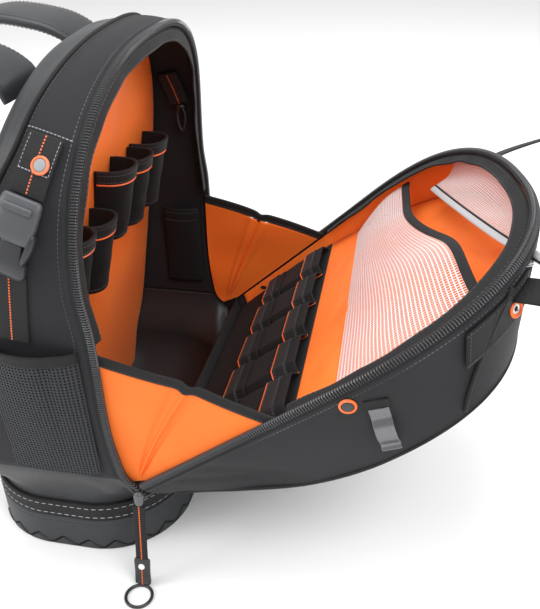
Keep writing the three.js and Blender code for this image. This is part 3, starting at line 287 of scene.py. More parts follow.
def gridCorners(nu, nv, closeU=False):
    i, j = np.meshgrid(np.arange(nu if closeU else nu - 1), np.arange(nv - 1), indexing="ij")
    i, j = i.ravel(), j.ravel()
    cornerI = np.stack([i, i + 1, i + 1, i], 1)
    cornerJ = np.stack([j, j, j + 1, j + 1], 1)
    return cornerI, cornerJ


def gridMesh(name, points, look, closeU=False, outFrom=None, facing=None, **extra):
    # a surface over a grid of points; its UV map holds lengths along the two directions
    nu, nv = points.shape[:2]
    cornerI, cornerJ = gridCorners(nu, nv, closeU)
    wrapped = np.concatenate([points, points[:1]]) if closeU else points
    lengthU = np.concatenate([[0], np.cumsum(np.linalg.norm(np.diff(wrapped, axis=0), axis=2).mean(1))])
    lengthV = np.concatenate([[0], np.cumsum(np.linalg.norm(np.diff(wrapped, axis=1), axis=2).mean(0))])
    uv = np.stack([lengthU[cornerI], lengthV[cornerJ]], -1)
    faces = (cornerI % nu) * nv + cornerJ
    if outFrom is not None or facing is not None:
        normal = np.cross(wrapped[1:, :-1] - wrapped[:-1, :-1], wrapped[:-1, 1:] - wrapped[:-1, :-1])
        ways = wrapped[:-1, :-1] - np.array(outFrom, float) if outFrom is not None else np.array(facing,
                                                                                                 float)
        if (normal * ways).sum(-1).sum() < 0:
            faces, uv = faces[:, ::-1], uv[:, ::-1]
    return addMesh(name, points, faces.tolist(), look, uv, **extra)


def loftMesh(name, loops, look, ring=False, capped=(True, True), outFrom=None, **extra):
    # a solid through a stack of closed loops, each end closed by a fan of triangles
    loops = np.asarray(loops, float)
    if ring:
        loops = np.concatenate([loops, loops[:1]])
    rows, count = loops.shape[:2]
    cornerI, cornerJ = gridCorners(count, rows, True)
    across = np.concatenate([[0], np.cumsum(np.linalg.norm(np.diff(np.concatenate([loops, loops[:, :1]], 1),
                                                                   axis=1), axis=2).mean(0))])
    along = np.concatenate([[0], np.cumsum(np.linalg.norm(np.diff(loops, axis=0), axis=2).mean(1))])
    uv = np.stack([across[cornerI], along[cornerJ]], -1).reshape(-1, 2)
    stored = rows - 1 if ring else rows
    faces = ((cornerJ % stored if ring else cornerJ) * count + cornerI % count).tolist()
    points = loops[:stored].reshape(-1, 3)
    around = np.arange(count)
    for row, wanted, flip in ((0, capped[0], True), (rows - 1, capped[1], False)):
        if ring or not wanted:
            continue
        middle = len(points)
        points = np.concatenate([points, loops[row].mean(0)[None]])
        a, b = row * count + around, row * count + (around + 1) % count
        fan = np.stack([b, a, np.full(count, middle)] if flip else [a, b, np.full(count, middle)], 1)
        faces += fan.tolist()
        uv = np.concatenate([uv, points[fan][..., :2].reshape(-1, 2)])
    first = np.array([f[:3] for f in faces])
    third = np.array([[f[0], f[2], f[-1]] for f in faces])
    volume = sum((points[t[:, 0]] * np.cross(points[t[:, 1]], points[t[:, 2]])).sum()
                 for t in (first, third[[len(f) == 4 for f in faces]])) if capped == (True,
                                                                                      True) or ring else 0
    if outFrom is not None:
        tri = points[first]
        volume = (np.cross(tri[:, 1] - tri[:, 0], tri[:, 2] - tri[:, 0]) * (tri[:, 0] - np.array(outFrom,
                                                                                                 float))).sum()
    if volume < 0:
        start, turned = 0, []
        for face in faces:
            turned.append(uv[start:start + len(face)][::-1])
            start += len(face)
        faces, uv = [f[::-1] for f in faces], np.concatenate(turned)
    return addMesh(name, points, faces, look, uv, **extra)


def frames(path, normal):
    # sideways and normal directions along a path, with the normal made square to it
    path = np.asarray(path, float)
    tangent = unit(np.gradient(path, axis=0))
    normal = np.broadcast_to(np.asarray(normal, float), path.shape)
    normal = unit(normal - (normal * tangent).sum(-1, keepdims=True) * tangent)
    return np.cross(normal, tangent), normal


def smoothPath(points, count):
    # a Catmull-Rom curve through a few points
    p = np.asarray(points, float)
    p = np.concatenate([[2 * p[0] - p[1]], p, [2 * p[-1] - p[-2]]])
    place = np.linspace(0, len(p) - 3 - 1e-9, count)
    i = place.astype(int)
    t = (place - i)[:, None]
    a, b, c, d = p[i], p[i + 1], p[i + 2], p[i + 3]
    return 0.5 * (2 * b + (c - a) * t + (2 * a - 5 * b + 4 * c - d) * t**2 + (3 * b - a - 3 * c + d) * t**3)


def ringProfile(count, halfWide, halfThick, power=2.0):
    # a rounded section: a superellipse of the given half sizes
    angle = np.linspace(0, 2 * np.pi, count, endpoint=False)
    c, s = np.cos(angle), np.sin(angle)
    return np.stack([halfWide * np.sign(c) * np.abs(c) ** (2 / power),
                     halfThick * np.sign(s) * np.abs(s) ** (2 / power)], -1)


def sweepMesh(name, path, normal, profile, look, **extra):
    # a profile carried along a path: place + sideways * its first number + normal * its second
    path = np.asarray(path, float)
    across, up = frames(path, normal)
    profile = np.asarray(profile, float)
    if profile.ndim == 2:
        profile = np.broadcast_to(profile, (len(path), *profile.shape))
    loops = path[:, None] + across[:, None] * profile[..., :1] + up[:, None] * profile[..., 1:2]
    return loftMesh(name, loops, look, **extra)


def capsules(centres, along, normal, length, width, height):
    # many small rounded bars: two square rings and two tips for each
    along, normal = unit(along), unit(normal)
    across = np.cross(normal, along)
    template = np.array([(-0.5, 0, 0)] + [(e, a, b) for e in (-0.36, 0.36) for a, b in ((-0.5, 0), (0, 0.5),
                                                                                        (0.5, 0), (0, -0.5))] + [(0.5, 0, 0)])
    points = (centres[:, None] + along[:, None] * template[:, :1] * length + across[:, None]
              * template[:, 1:2] * width
              + normal[:, None] * template[:, 2:3] * height)
    faces = [(0, 1 + (k + 1) % 4, 1 + k) for k in range(4)] + [(9, 5 + k, 5 + (k + 1) % 4) for k in range(4)]
    sides = [(1 + k, 1 + (k + 1) % 4, 5 + (k + 1) % 4, 5 + k) for k in range(4)]
    start = np.arange(len(centres))[:, None, None] * 10
    return points.reshape(-1, 3), (start + np.array(faces)).reshape(-1, 3).tolist() + (start
                                                                                       + np.array(sides)).reshape(-1, 4).tolist()


stitchRows = {}


def stitch(thread, path, normal, pitch=4.0, length=2.7, width=0.75, lift=0.15):
    # a row of stitches on a surface along a path, kept under its thread's name until all are made
    path = np.asarray(path, float)
    normal = np.broadcast_to(np.asarray(normal, float), path.shape)
    run = np.concatenate([[0], np.cumsum(np.linalg.norm(np.diff(path, axis=0), axis=1))])
    at = np.arange(pitch / 2, run[-1], pitch)
    spot = lambda where, values: np.stack([np.interp(where, run, values[:, k]) for k in range(3)], -1)
    along = spot(at + length / 2, path) - spot(at - length / 2, path)
    up = unit(spot(at, normal))
    stitchRows.setdefault(thread, []).append(capsules(spot(at, path) + up * lift, along, up, length, width,
                                                      width * 0.8))


# effects shared by the materials
def newGroup(name, inputs, outputs):
    group = bpy.data.node_groups.new(name, "ShaderNodeTree")
    for label, kind, value in inputs:
        socket = group.interface.new_socket(name=label, in_out="INPUT", socket_type=kind)
        if value is not None:
            socket.default_value = value
    for label in outputs:
        group.interface.new_socket(name=label, in_out="OUTPUT", socket_type="NodeSocketFloat")
    return group, group.nodes.new("NodeGroupInput"), group.nodes.new("NodeGroupOutput")


def wire(tree, target, value):
    if isinstance(value, (int, float)):
        target.default_value = value
    else:
        tree.links.new(value, target)


def maths(tree, operation, *values):
    node = tree.nodes.new("ShaderNodeMath")
    node.operation = operation
    for socket, value in zip(node.inputs, values):
        wire(tree, socket, value)
    return node.outputs[0]


def makeWeave():
    # threads of two directions that pass over each other two by two
    group, into, out = newGroup("twillWeave", [("Vector", "NodeSocketVector", None),
                                               ("Pitch", "NodeSocketFloat", 0.0016)], ["Height", "Shade"])
    split = group.nodes.new("ShaderNodeSeparateXYZ")
    group.links.new(into.outputs["Vector"], split.inputs[0])
    a = maths(group, "DIVIDE", split.outputs[0], into.outputs["Pitch"])
    b = maths(group, "DIVIDE", split.outputs[1], into.outputs["Pitch"])
    count = maths(group, "ADD", maths(group, "FLOOR", a), maths(group, "FLOOR", b))
    over = maths(group, "LESS_THAN", maths(group, "FLOORED_MODULO", count, 4.0), 2.0)
    warp = maths(group, "ABSOLUTE", maths(group, "SINE", maths(group, "MULTIPLY", a, np.pi)))
    weft = maths(group, "ABSOLUTE", maths(group, "SINE", maths(group, "MULTIPLY", b, np.pi)))
    top = maths(group, "MULTIPLY", over, warp)
    low = maths(group, "MULTIPLY", maths(group, "SUBTRACT", 1.0, over), weft)
    height = maths(group, "ADD", top, low)
    shade = maths(group, "MULTIPLY_ADD", over, 0.35, maths(group, "MULTIPLY", height, 0.65))
    group.links.new(height, out.inputs["Height"])
    group.links.new(shade, out.inputs["Shade"])
    return group


def makeRibs():
    # ribs across a webbing, each broken into small floats
    group, into, out = newGroup("webbingRibs", [("Vector", "NodeSocketVector", None),
                                                ("Pitch", "NodeSocketFloat", 0.0012)], ["Height", "Shade"])
    split = group.nodes.new("ShaderNodeSeparateXYZ")
    group.links.new(into.outputs["Vector"], split.inputs[0])
    a = maths(group, "DIVIDE", split.outputs[0], into.outputs["Pitch"])
    b = maths(group, "DIVIDE", split.outputs[1], into.outputs["Pitch"])
    shift = maths(group, "MULTIPLY", maths(group, "FLOORED_MODULO", maths(group, "FLOOR", a), 2.0), 0.5)
    rib = maths(group, "ABSOLUTE", maths(group, "SINE", maths(group, "MULTIPLY", maths(group, "ADD", b,
                                                                                       shift),
                                                              np.pi)))
    column = maths(group, "ABSOLUTE", maths(group, "SINE", maths(group, "MULTIPLY", a, np.pi)))
    height = maths(group, "MULTIPLY_ADD", rib, 0.6, maths(group, "MULTIPLY", column, 0.4))
    group.links.new(height, out.inputs["Height"])
    group.links.new(height, out.inputs["Shade"])
    return group


def makeGrain():
    # fine unevenness of colour and surface
    group, into, out = newGroup("fineGrain", [("Vector", "NodeSocketVector", None),
                                              ("Scale", "NodeSocketFloat", 900.0)], ["Height", "Shade"])
    noise = group.nodes.new("ShaderNodeTexNoise")
    group.links.new(into.outputs["Vector"], noise.inputs["Vector"])
    group.links.new(into.outputs["Scale"], noise.inputs["Scale"])
    noise.inputs["Detail"].default_value = 4
    group.links.new(noise.outputs[0], out.inputs["Height"])
    group.links.new(noise.outputs[0], out.inputs["Shade"])
    return group


def makePatches():
    # broad patches where the surface is worn or dusty
    group, into, out = newGroup("wornPatches", [("Vector", "NodeSocketVector", None),
                                                ("Scale", "NodeSocketFloat", 14.0),
                                                ("Start", "NodeSocketFloat", 0.45)], ["Mask"])
    noise = group.nodes.new("ShaderNodeTexNoise")
    group.links.new(into.outputs["Vector"], noise.inputs["Vector"])
    group.links.new(into.outputs["Scale"], noise.inputs["Scale"])
    noise.inputs["Detail"].default_value = 5
    rise = maths(group, "SUBTRACT", noise.outputs[0], into.outputs["Start"])
    limit = maths(group, "MAXIMUM", maths(group, "MINIMUM", maths(group, "MULTIPLY", rise, 3.0), 1.0), 0.0)
    group.links.new(limit, out.inputs["Mask"])
    return group


groups = {"weave": makeWeave(), "ribs": makeRibs(), "grain": makeGrain(), "patches": makePatches()}


def addGroup(tree, name, vector, **values):
    node = tree.nodes.new("ShaderNodeGroup")
    node.node_tree = groups[name]
    tree.links.new(vector, node.inputs["Vector"])
    for label, value in values.items():
        node.inputs[label].default_value = value
    return node


def mixColour(tree, factor, a, b):
    node = tree.nodes.new("ShaderNodeMix")
    node.data_type = "RGBA"
    wire(tree, node.inputs[0], factor)
    for socket, value in ((node.inputs[6], a), (node.inputs[7], b)):
        if isinstance(value, tuple):
            socket.default_value = (*value, 1)
        else:
            tree.links.new(value, socket)
    return node.outputs[2]


def makeLook(name, dark, light, pattern=None, pitch=0.0016, depth=0.00025, rough=0.8, sheen=0.0, metal=0.0,
             coat=0.0, shine=0.5,
             dust=0.25, dustColour=(0.5, 0.5, 0.52), grainScale=900.0, grainDepth=0.00005, space="uv"):
    # a dark and a light tone mixed by the pattern's shade, dusted in patches, with the pattern's height as bump
    look = bpy.data.materials.new(name)
    look.use_nodes = True
    tree = look.node_tree
    shader = tree.nodes["Principled BSDF"]
    place = tree.nodes.new("ShaderNodeTexCoord").outputs["Object"]
    cloth = place
    if space == "uv":
        uvMap = tree.nodes.new("ShaderNodeUVMap")
        uvMap.uv_map = "cloth"
        cloth = uvMap.outputs[0]
    grain = addGroup(tree, "grain", place, Scale=grainScale)
    patches = addGroup(tree, "patches", place)
    shade, height = grain.outputs["Shade"], maths(tree, "MULTIPLY", grain.outputs["Height"], grainDepth)
    if pattern:
        woven = addGroup(tree, pattern, cloth, Pitch=pitch)
        shade = maths(tree, "MULTIPLY_ADD", woven.outputs["Shade"], 0.7, maths(tree, "MULTIPLY",
                                                                               grain.outputs["Shade"], 0.3))
        height = maths(tree, "MULTIPLY_ADD", woven.outputs["Height"], depth, height)
    colour = mixColour(tree, shade, dark, light)
    mask = maths(tree, "MULTIPLY", patches.outputs["Mask"], dust)
    colour = mixColour(tree, mask, colour, dustColour)
    tree.links.new(colour, shader.inputs["Base Color"])
    tree.links.new(maths(tree, "MULTIPLY_ADD", grain.outputs["Shade"], 0.16, rough - 0.08),
                   shader.inputs["Roughness"])
    bump = tree.nodes.new("ShaderNodeBump")
    bump.inputs["Strength"].default_value = 1.0
    bump.inputs["Distance"].default_value = 1.0
    tree.links.new(height, bump.inputs["Height"])
    tree.links.new(bump.outputs[0], shader.inputs["Normal"])
    shader.inputs["Metallic"].default_value = metal
    shader.inputs["Specular IOR Level"].default_value = shine
    shader.inputs["Sheen Weight"].default_value = sheen
    shader.inputs["Sheen Roughness"].default_value = 0.4
    shader.inputs["Coat Weight"].default_value = coat
    looks[name] = look


makeLook("twill", (0.0035, 0.0037, 0.0045), (0.019, 0.0195, 0.0225), "weave", 0.0006, 0.00012, 0.6, 0.03,
         shine=0.28, dust=0.12, dustColour=(0.035, 0.036, 0.04))
makeLook("rearCloth", (0.014, 0.015, 0.0165), (0.026, 0.0275, 0.03), "weave", 0.0005, 0.00003, 0.4, 0.03,
         shine=0.42, dust=0.2, dustColour=(0.042, 0.044, 0.048))
makeLook("innerCloth", (0.0025, 0.0025, 0.003), (0.01, 0.01, 0.0115), "weave", 0.0006, 0.00008, 0.75, 0.03,
         shine=0.25, dust=0.1, dustColour=(0.02, 0.02, 0.022))
makeLook("webbing", (0.0025, 0.0025, 0.003), (0.014, 0.014, 0.0155), "ribs", 0.0013, 0.0003, 0.65, 0.04,
         shine=0.3, dust=0.12, dustColour=(0.03, 0.03, 0.033))
makeLook("binding", (0.003, 0.003, 0.0035), (0.015, 0.015, 0.016), "ribs", 0.0008, 0.00018, 0.7, 0.05,
         shine=0.3, dust=0.15, dustColour=(0.03, 0.03, 0.032))
makeLook("orange", (0.86, 0.13, 0.012), (1.0, 0.22, 0.028), "weave", 0.0005, 0.00004, 0.55, 0.05, shine=0.3,
         dust=0.25, dustColour=(1.0, 0.3, 0.05))
makeLook("orangeTrim", (0.85, 0.1, 0.01), (1.0, 0.2, 0.03), "ribs", 0.0009, 0.0001, 0.55)
makeLook("rubber", (0.014, 0.015, 0.0165), (0.026, 0.028, 0.031), None, rough=0.5, shine=0.45, dust=0.25,
         dustColour=(0.045, 0.047, 0.05), grainScale=1600.0, grainDepth=0.00012)
makeLook("airMesh", (0.013, 0.014, 0.0155), (0.038, 0.04, 0.044), "ribs", 0.0007, 0.0002, 0.7, 0.05,
         shine=0.3,
         dust=0.15, dustColour=(0.06, 0.061, 0.065))
makeLook("paleNet", (0.72, 0.71, 0.72), (0.95, 0.94, 0.94), "ribs", 0.0008, 0.0001, 0.45, 0.1, dust=0.1,
         dustColour=(0.9, 0.85, 0.82))
makeLook("coil", (0.035, 0.036, 0.039), (0.1, 0.103, 0.11), None, rough=0.24, coat=0.4, dust=0.1,
         dustColour=(0.2, 0.2, 0.21), grainDepth=0.00002)
# near-black material for the base's zigzag groove: painted shade for the shadow inside it
makeLook("groove", (0.002, 0.002, 0.002), (0.006, 0.006, 0.006), None, rough=0.8, dust=0.1,
         dustColour=(0.02, 0.02, 0.02))
makeLook("netBand", (0.25, 0.25, 0.26), (0.62, 0.61, 0.62), "ribs", 0.0016, 0.0002, 0.6, 0.1, dust=0.1,
         dustColour=(0.6, 0.55, 0.52))
makeLook("darkSteel", (0.12, 0.12, 0.125), (0.22, 0.22, 0.23), None, rough=0.35, metal=1.0, dust=0.1,
         dustColour=(0.2, 0.2, 0.21), grainDepth=0.00001)
makeLook("plastic", (0.012, 0.0125, 0.014), (0.03, 0.031, 0.034), None, rough=0.36, dust=0.15,
         dustColour=(0.06, 0.062, 0.067), grainScale=2500.0, grainDepth=0.00004)
makeLook("plasticGrey", (0.04, 0.043, 0.048), (0.07, 0.074, 0.08), None, rough=0.42, dust=0.15,
         dustColour=(0.1, 0.104, 0.11), grainScale=2500.0, grainDepth=0.00004)
makeLook("steel", (0.55, 0.56, 0.58), (0.75, 0.76, 0.78), None, rough=0.28, metal=1.0, dust=0.1,
         dustColour=(0.4, 0.4, 0.42), grainDepth=0.00001)
makeLook("blackMetal", (0.03, 0.03, 0.032), (0.07, 0.07, 0.075), None, rough=0.32, metal=0.6, dust=0.1,
         dustColour=(0.2, 0.2, 0.21), grainDepth=0.00001)
makeLook("greyCap", (0.2, 0.21, 0.215), (0.3, 0.31, 0.32), None, rough=0.45, dust=0.2, dustColour=(0.4, 0.4,
                                                                                                   0.41), grainDepth=0.00003)
makeLook("greyThread", (0.2, 0.21, 0.23), (0.36, 0.37, 0.39), None, rough=0.6, grainDepth=0.00004)
makeLook("darkThread", (0.02, 0.021, 0.023), (0.06, 0.062, 0.066), None, rough=0.6, grainDepth=0.00004)
makeLook("orangeThread", (0.9, 0.12, 0.015), (1.0, 0.22, 0.04), None, rough=0.5, grainDepth=0.00004)
print("materials made")


# moulded base, its band and the lower tub
def planOutline(half, front, rear, frontRadius, rearRadius, perArc, perSide):
    # a rounded rectangle in plan: four arcs joined by straight runs, starting at the left front corner
    arcs = []
    for sx, cy, r, start in ((-1, front + frontRadius, frontRadius, 1), (1, front + frontRadius, frontRadius,
                                                                         1.5),
                             (1, rear - rearRadius, rearRadius, 0), (-1, rear - rearRadius, rearRadius, 0.5)):
        angle = (start + np.linspace(0, 0.5, perArc)) * np.pi
        arcs.append(np.stack([sx * (half - r) + r * np.cos(angle), cy + r * np.sin(angle)], -1))
    runs = []
    for k in range(4):
        t = np.linspace(0, 1, perSide + 2)[1:-1, None]
        runs += [arcs[k], lerp(arcs[k][-1], arcs[(k + 1) % 4][0], t)]
    return np.concatenate(runs)


def baseOutline(inset, z, perArc=40, perSide=30):
    plan = planOutline(base["width"] / 2 - inset, -100 + inset, 100 - inset, base["corner"] - inset,
                       base["corner"] - inset, perArc, perSide)
    return np.concatenate([plan, np.full((len(plan), 1), float(z))], 1)


baseLook = {"toothPitch": 27, "toothFoot": 2.2, "toothHigh": 8.0, "grooveDeep": 2.6, "grooveWide": 1.0,
            "wallSet": 0.9, "seamZ": 33}


def makeBase():
    # rows of outlines up the wall; a zigzag groove parts the wall from the sole, which stands a little further out
    loops = [baseOutline(8, 0, 150, 110), baseOutline(3, 0, 150, 110)]
    plan = baseOutline(0, 0, 150, 110)
    run = np.concatenate([[0], np.cumsum(np.linalg.norm(np.diff(plan, axis=0), axis=1))])
    count = round(run[-1] / baseLook["toothPitch"])
    phase = np.abs(((run / run[-1] * count) % 1) - 0.5) * 2
    line = baseLook["toothFoot"] + baseLook["toothHigh"] * np.clip(1.3 * phase - 0.22, 0, 1)
    outward = unit(plan - baseOutline(1, 0, 150, 110))
    heights = np.concatenate([[0.4, 0.8], np.linspace(1.2, 13, 36), [15, 18, 22, 26, 30, 32, 33, 34, 35, 36.5,
                                                                     37.4, 38]])
    for z in heights:
        setBack = (baseLook["wallSet"] * ease((z - line) / 1.5) + baseLook["grooveDeep"]
                   * np.exp(-((z - line) / baseLook["grooveWide"]) ** 4))
        setBack = setBack + 1.3 * np.clip(1 - z / 2.4, 0, 1) ** 2 + 1.2 * max(0, (z - 36.5) / 1.5) ** 2
        setBack = setBack + 0.5 * np.exp(-((z - baseLook["seamZ"]) / 0.8) ** 2)
        loops.append(plan - outward * setBack[:, None] + np.array([0, 0, z]))
    loops += [baseOutline(base["wall"], 38, 150, 110), baseOutline(base["wall"], 12, 150, 110),
              baseOutline(30, 7, 150, 110)]
    tray = loftMesh("base_tray_rubber", loops, ["rubber", "groove"], replaces=["base_tray"])
    # the groove's own faces get a near-black material: painted shade for the shadow inside the groove
    centres = np.empty(len(tray.data.polygons) * 3)
    tray.data.polygons.foreach_get("center", centres)
    centres = centres.reshape(-1, 3)[:len(plan) * (len(loops) - 1)] * 1000
    column = np.arange(len(centres)) // (len(loops) - 1)
    grooveShadeFaces = np.abs(centres[:, 2] - line[column]) < baseLook["grooveWide"] * 0.95
    slots = np.concatenate([grooveShadeFaces, np.zeros(len(tray.data.polygons) - len(centres), bool)])
    tray.data.polygons.foreach_set("material_index", slots.astype(np.int32))

    low = base["height"] + gap
    outer = base["wall"] - base["bandThick"]
    profile = [(outer + 0.9, low), (outer + 0.2, low + 1), (outer - 0.1, low + 5), (outer, low + 9.5),
               (outer - 0.1, low + 14), (outer + 0.2, low + 18),
               (outer + 0.9, low + 19), (base["wall"], low + 19), (base["wall"], low + 9),
               (base["wall"], low)]
    loftMesh("base_band_webbing", [baseOutline(inset, z) for inset, z in profile], "webbing", ring=True,
             replaces=["base_band"])
    for z in (low + 4, low + 15):
        row = baseOutline(outer - 0.2, z)
        stitch("greyThread", np.concatenate([row, row[:1]]), unit(np.concatenate([row, row[:1]])
                                                                  - np.array([0, 0, z]) * 1.0), 7.2, 4.9, 1.1,
               0.2)


def tubPlan(rise, inset=0):
    radius = lerp(base["corner"] - tubInset, corner, ease(rise))
    return (lerp(base["width"] / 2 - tubInset, halfAt(heightOf["tub"], body), ease(rise)) - inset,
            -100 + tubInset - rise + inset,
            lerp(100 - tubInset, backY(heightOf["tub"]), rise) - inset, radius - inset, radius - inset)


def tubLoop(rise, inset=0):
    plan = planOutline(*tubPlan(rise, inset), 40, 30)
    dip = lerp(90, heightOf["tub"], ease((plan[:, 1] - mouthY(heightOf["mouth"]) + 4) / 18))
    return np.concatenate([plan, lerp(bandTop + 1, dip, rise)[:, None]], 1)


def makeTub():
    rises = np.linspace(0, 1, 26)
    outside = np.stack([tubLoop(rise) for rise in rises])
    middle = np.array([0, 0, 80.0])
    normal = unit((outside - middle) * np.array([1, 1, 0.2]))
    swell = np.sin(np.pi * rises)[:, None]
    # a soft pleat runs down from the mouth's foot on each side, and the cloth is slightly uneven
    pleat = sum(crease(outside, (s * 166, -64, 108), (s * 140, -80, 60), 6) for s in (-1, 1))
    dent = (1.6 * ripple(outside, 90, 3) - 3.2 * pleat + 2.2 * sum(crease(outside, (s * 166, -46, 108),
                                                                          (s * 148, -62, 60), 9) for s in (-1, 1)))
    outside = outside + normal * (dent * swell)[..., None]
    loops = [baseOutline(tubInset + 3, base["floor"] + gap), baseOutline(tubInset, base["floor"] + gap + 3),
             *outside,
             *[tubLoop(rise, wall) for rise in rises[::-1]], baseOutline(tubInset + wall, base["floor"] + gap
                                                                         + wall)]
    loftMesh("lower_tub_cloth", loops, "rearCloth", replaces=["lower_tub"])


makeBase()
makeTub()
print("base and tub made")


# body shell: front panel, rear panel behind the piping, and the back
bodyLook = {"frontRipple": 0.9, "rearRipple": 2.6, "columns": 300}


def makeBody():
    shares = evenShares(body, bodyLook["columns"])
    up = archPoint(shares, body)[1]
    t = np.linspace(0, 1, 42)
    y = lerp(mouthY(up)[:, None] - 0.6, pipingY(up)[:, None] + 0.8, t)
    front = sidePoint(shares[:, None] + 0 * y, y)
    away = gridNormals(front, outFrom=(0, 0, 200))
    hold = np.sin(np.pi * np.clip(t, 0, 1))[None] ** 0.5
    front = front + away * (bodyLook["frontRipple"] * ripple(front, 70, 11) * hold)[..., None]
    # a rolled edge at the mouth and a tucked one at the piping
    front = front - away * (1.4 * np.exp(-(t * 60) ** 2) + 2.6 * np.exp(-((1 - t) * 26) ** 2))[None, :, None]
    gridMesh("body_shell_front", front, "twill", outFrom=(0, 0, 200), thick=wall, side=-1,
             replaces=["body_shell"])
    stitch("darkThread", front[:, 4], away[:, 4], 3.6, 2.5, 0.7)
    stitch("darkThread", front[:, 37], away[:, 37], 3.6, 2.5, 0.7)

    t = np.linspace(0, 1, 24)
    y = lerp(pipingY(up)[:, None] - 0.8, backY(up)[:, None] - corner, t)
    side = sidePoint(shares[:, None] + 0 * y, y)
    angle = np.linspace(0, np.pi / 2, 12)[1:]
    cornerPart = np.stack([np.stack([archPoint(shares, body, corner * (1 - np.cos(a)))[0],
                                     backY(up) - corner * (1 - np.sin(a)),
                                     archPoint(shares, body, corner * (1 - np.cos(a)))[1]], -1)
                           for a in angle], 1)
    rear = np.concatenate([side, cornerPart], 1)
    away = gridNormals(rear, outFrom=(0, 0, 200))
    t = np.linspace(0, 1, rear.shape[1])
    hold = np.sin(np.pi * t)[None] ** 0.7
    long = rear * np.array([1, 1.6, 0.45])
    rear = (rear + away * (bodyLook["rearRipple"] * ripple(long, 75, 21) * hold
                           - 2.4 * np.exp(-(t * 22) ** 2)[None])[..., None])
    gridMesh("body_shell_rear", rear, "rearCloth", outFrom=(0, 0, 200), thick=wall, side=-1)

    half = shares[shares <= 0.5]
    x, z = archPoint(np.minimum(half, 0.4999), body, corner)
    u = np.linspace(-1, 1, 70)
    back = np.stack([-x[:, None] * u, np.broadcast_to(backY(np.interp(half, shares, up))[:, None],
                                                      (len(half), 70)), np.broadcast_to(z[:, None],
                                                                                        (len(half), 70))], -1)
    back = (back + np.array([0, 1, 0]) * (1.2 * ripple(back, 110, 31))[..., None]
            * (1 - np.abs(u) ** 6)[None, :, None])
    gridMesh("body_back_panel", back, "rearCloth", facing=(0, 1, 0), thick=wall, side=-1)

    path = sidePoint(shares, pipingY(up), 1.2)
    normal = path - sidePoint(shares, pipingY(up), 0)
    sweepMesh("body_piping_cord", path, normal, ringProfile(10, 1.7, 1.7), "binding",
              replaces=["body_piping"])


makeBody()
print("body made")


# zips and the flaps inside them
zipLook = {"pitch": 2.25, "toothWide": 1.2, "toothHigh": 1.9, "sideSpan": 4.8, "frontSpan": 3.4}


def zipStrip(name, arch, place, node):
    # place(across, up, off) gives a point, where off runs forward from the arch's own plane
    shares = evenShares(arch, 420)
    plainUp = archPoint(shares, arch)[1]
    loops = []
    for inset, off in ((0.2, -6.3), (0.6, -6.8), (4.6, -6.9), (5.1, -6.4), (5.1, -1.0), (3.6, 0.9),
                       (0.8, 0.9),
                       (0.2, -0.6)):
        x, up = archPoint(shares, arch, inset)
        loops.append(place(x, up, off, plainUp))
    loftMesh(name + "_tape", np.stack(loops, 1), "binding", replaces=[node])
    # each tooth clasps the tape's outer corner: one bar down its side and one across its front
    length = np.linalg.norm(np.diff(loops[0], axis=0), axis=1).sum()
    even = evenShares(arch, int(length / zipLook["pitch"]))
    plainUp = archPoint(even, arch)[1]
    spot = lambda inset, off: place(*archPoint(even, arch, inset), off, plainUp)
    outward = unit(spot(0.0, -4.0) - spot(2.0, -4.0))
    forward = unit(spot(1.0, -5.0) - spot(1.0, -3.0))
    points, faces = [], []
    for centre, way, normal, span in ((spot(0.0, -4.3), forward, outward, zipLook["sideSpan"]),
                                      (spot(1.5, -6.9), -outward, forward, zipLook["frontSpan"])):
        barPoints, barFaces = capsules(centre, way, normal, span, zipLook["toothWide"], zipLook["toothHigh"])
        faces += [tuple(v + sum(len(p) for p in points) for v in f) for f in barFaces]
        points.append(barPoints)
    addMesh(name + "_teeth", np.concatenate(points), faces, "coil", shade=False)


def bodyPlane(x, up, off, plainUp):
    return np.stack([x, mouthY(plainUp) + off, up], -1)


def lidPlane(x, up, off, plainUp):
    return lidWorld(x, up, off)


flapLook = {"near": 6.2, "wide": 11.5, "thick": 1.5, "wave": 1.6}


def flapStrip(name, arch, place, start, facing, node, seed):
    # a soft strip inside the zip: it stands just behind the teeth and waves a little at its free edge
    shares = evenShares(arch, 300, start, 1 - start)
    plainUp = archPoint(shares, arch)[1]
    w = np.linspace(0, 1, 10)
    inset = flapLook["near"] + flapLook["wide"] * w
    x, up = archPoint(shares[:, None], arch, inset[None])
    points = place(x, up, -3.0 + 0 * x, np.broadcast_to(plainUp[:, None], x.shape))
    wave = flapLook["wave"] * ripple(points, 46, seed) * w[None] ** 1.5
    points = points + np.array(facing) * (wave + 1.4 * np.sin(np.pi * w * 0.5)[None])[..., None]
    gridMesh(name, points, "binding", facing=facing, thick=flapLook["thick"], side=0, replaces=[node])
    normal = gridNormals(points, facing=facing)
    stitch("darkThread", points[:, 2] + normal[:, 2] * 0.8, normal[:, 2], 4.4, 2.8, 0.8)
    stitch("darkThread", points[:, 8] + normal[:, 8] * 0.8, normal[:, 8], 4.4, 2.8, 0.7)


lidUp = np.array([0, np.sin(lidTilt), np.cos(lidTilt)])
zipStrip("body_zip", zipArch, bodyPlane, "body_zip")
zipStrip("lid_zip", lidRim, lidPlane, "lid_zip")
flapStrip("body_flap_cloth", zipArch, bodyPlane, float(shareAt(251, zipArch)), (0, -1, 0), "body_flap", 5)
flapStrip("lid_flap_cloth", lidRim, lidPlane, float(shareAt(160, lidRim)), tuple(lidUp), "lid_flap", 8)
print("zips made")


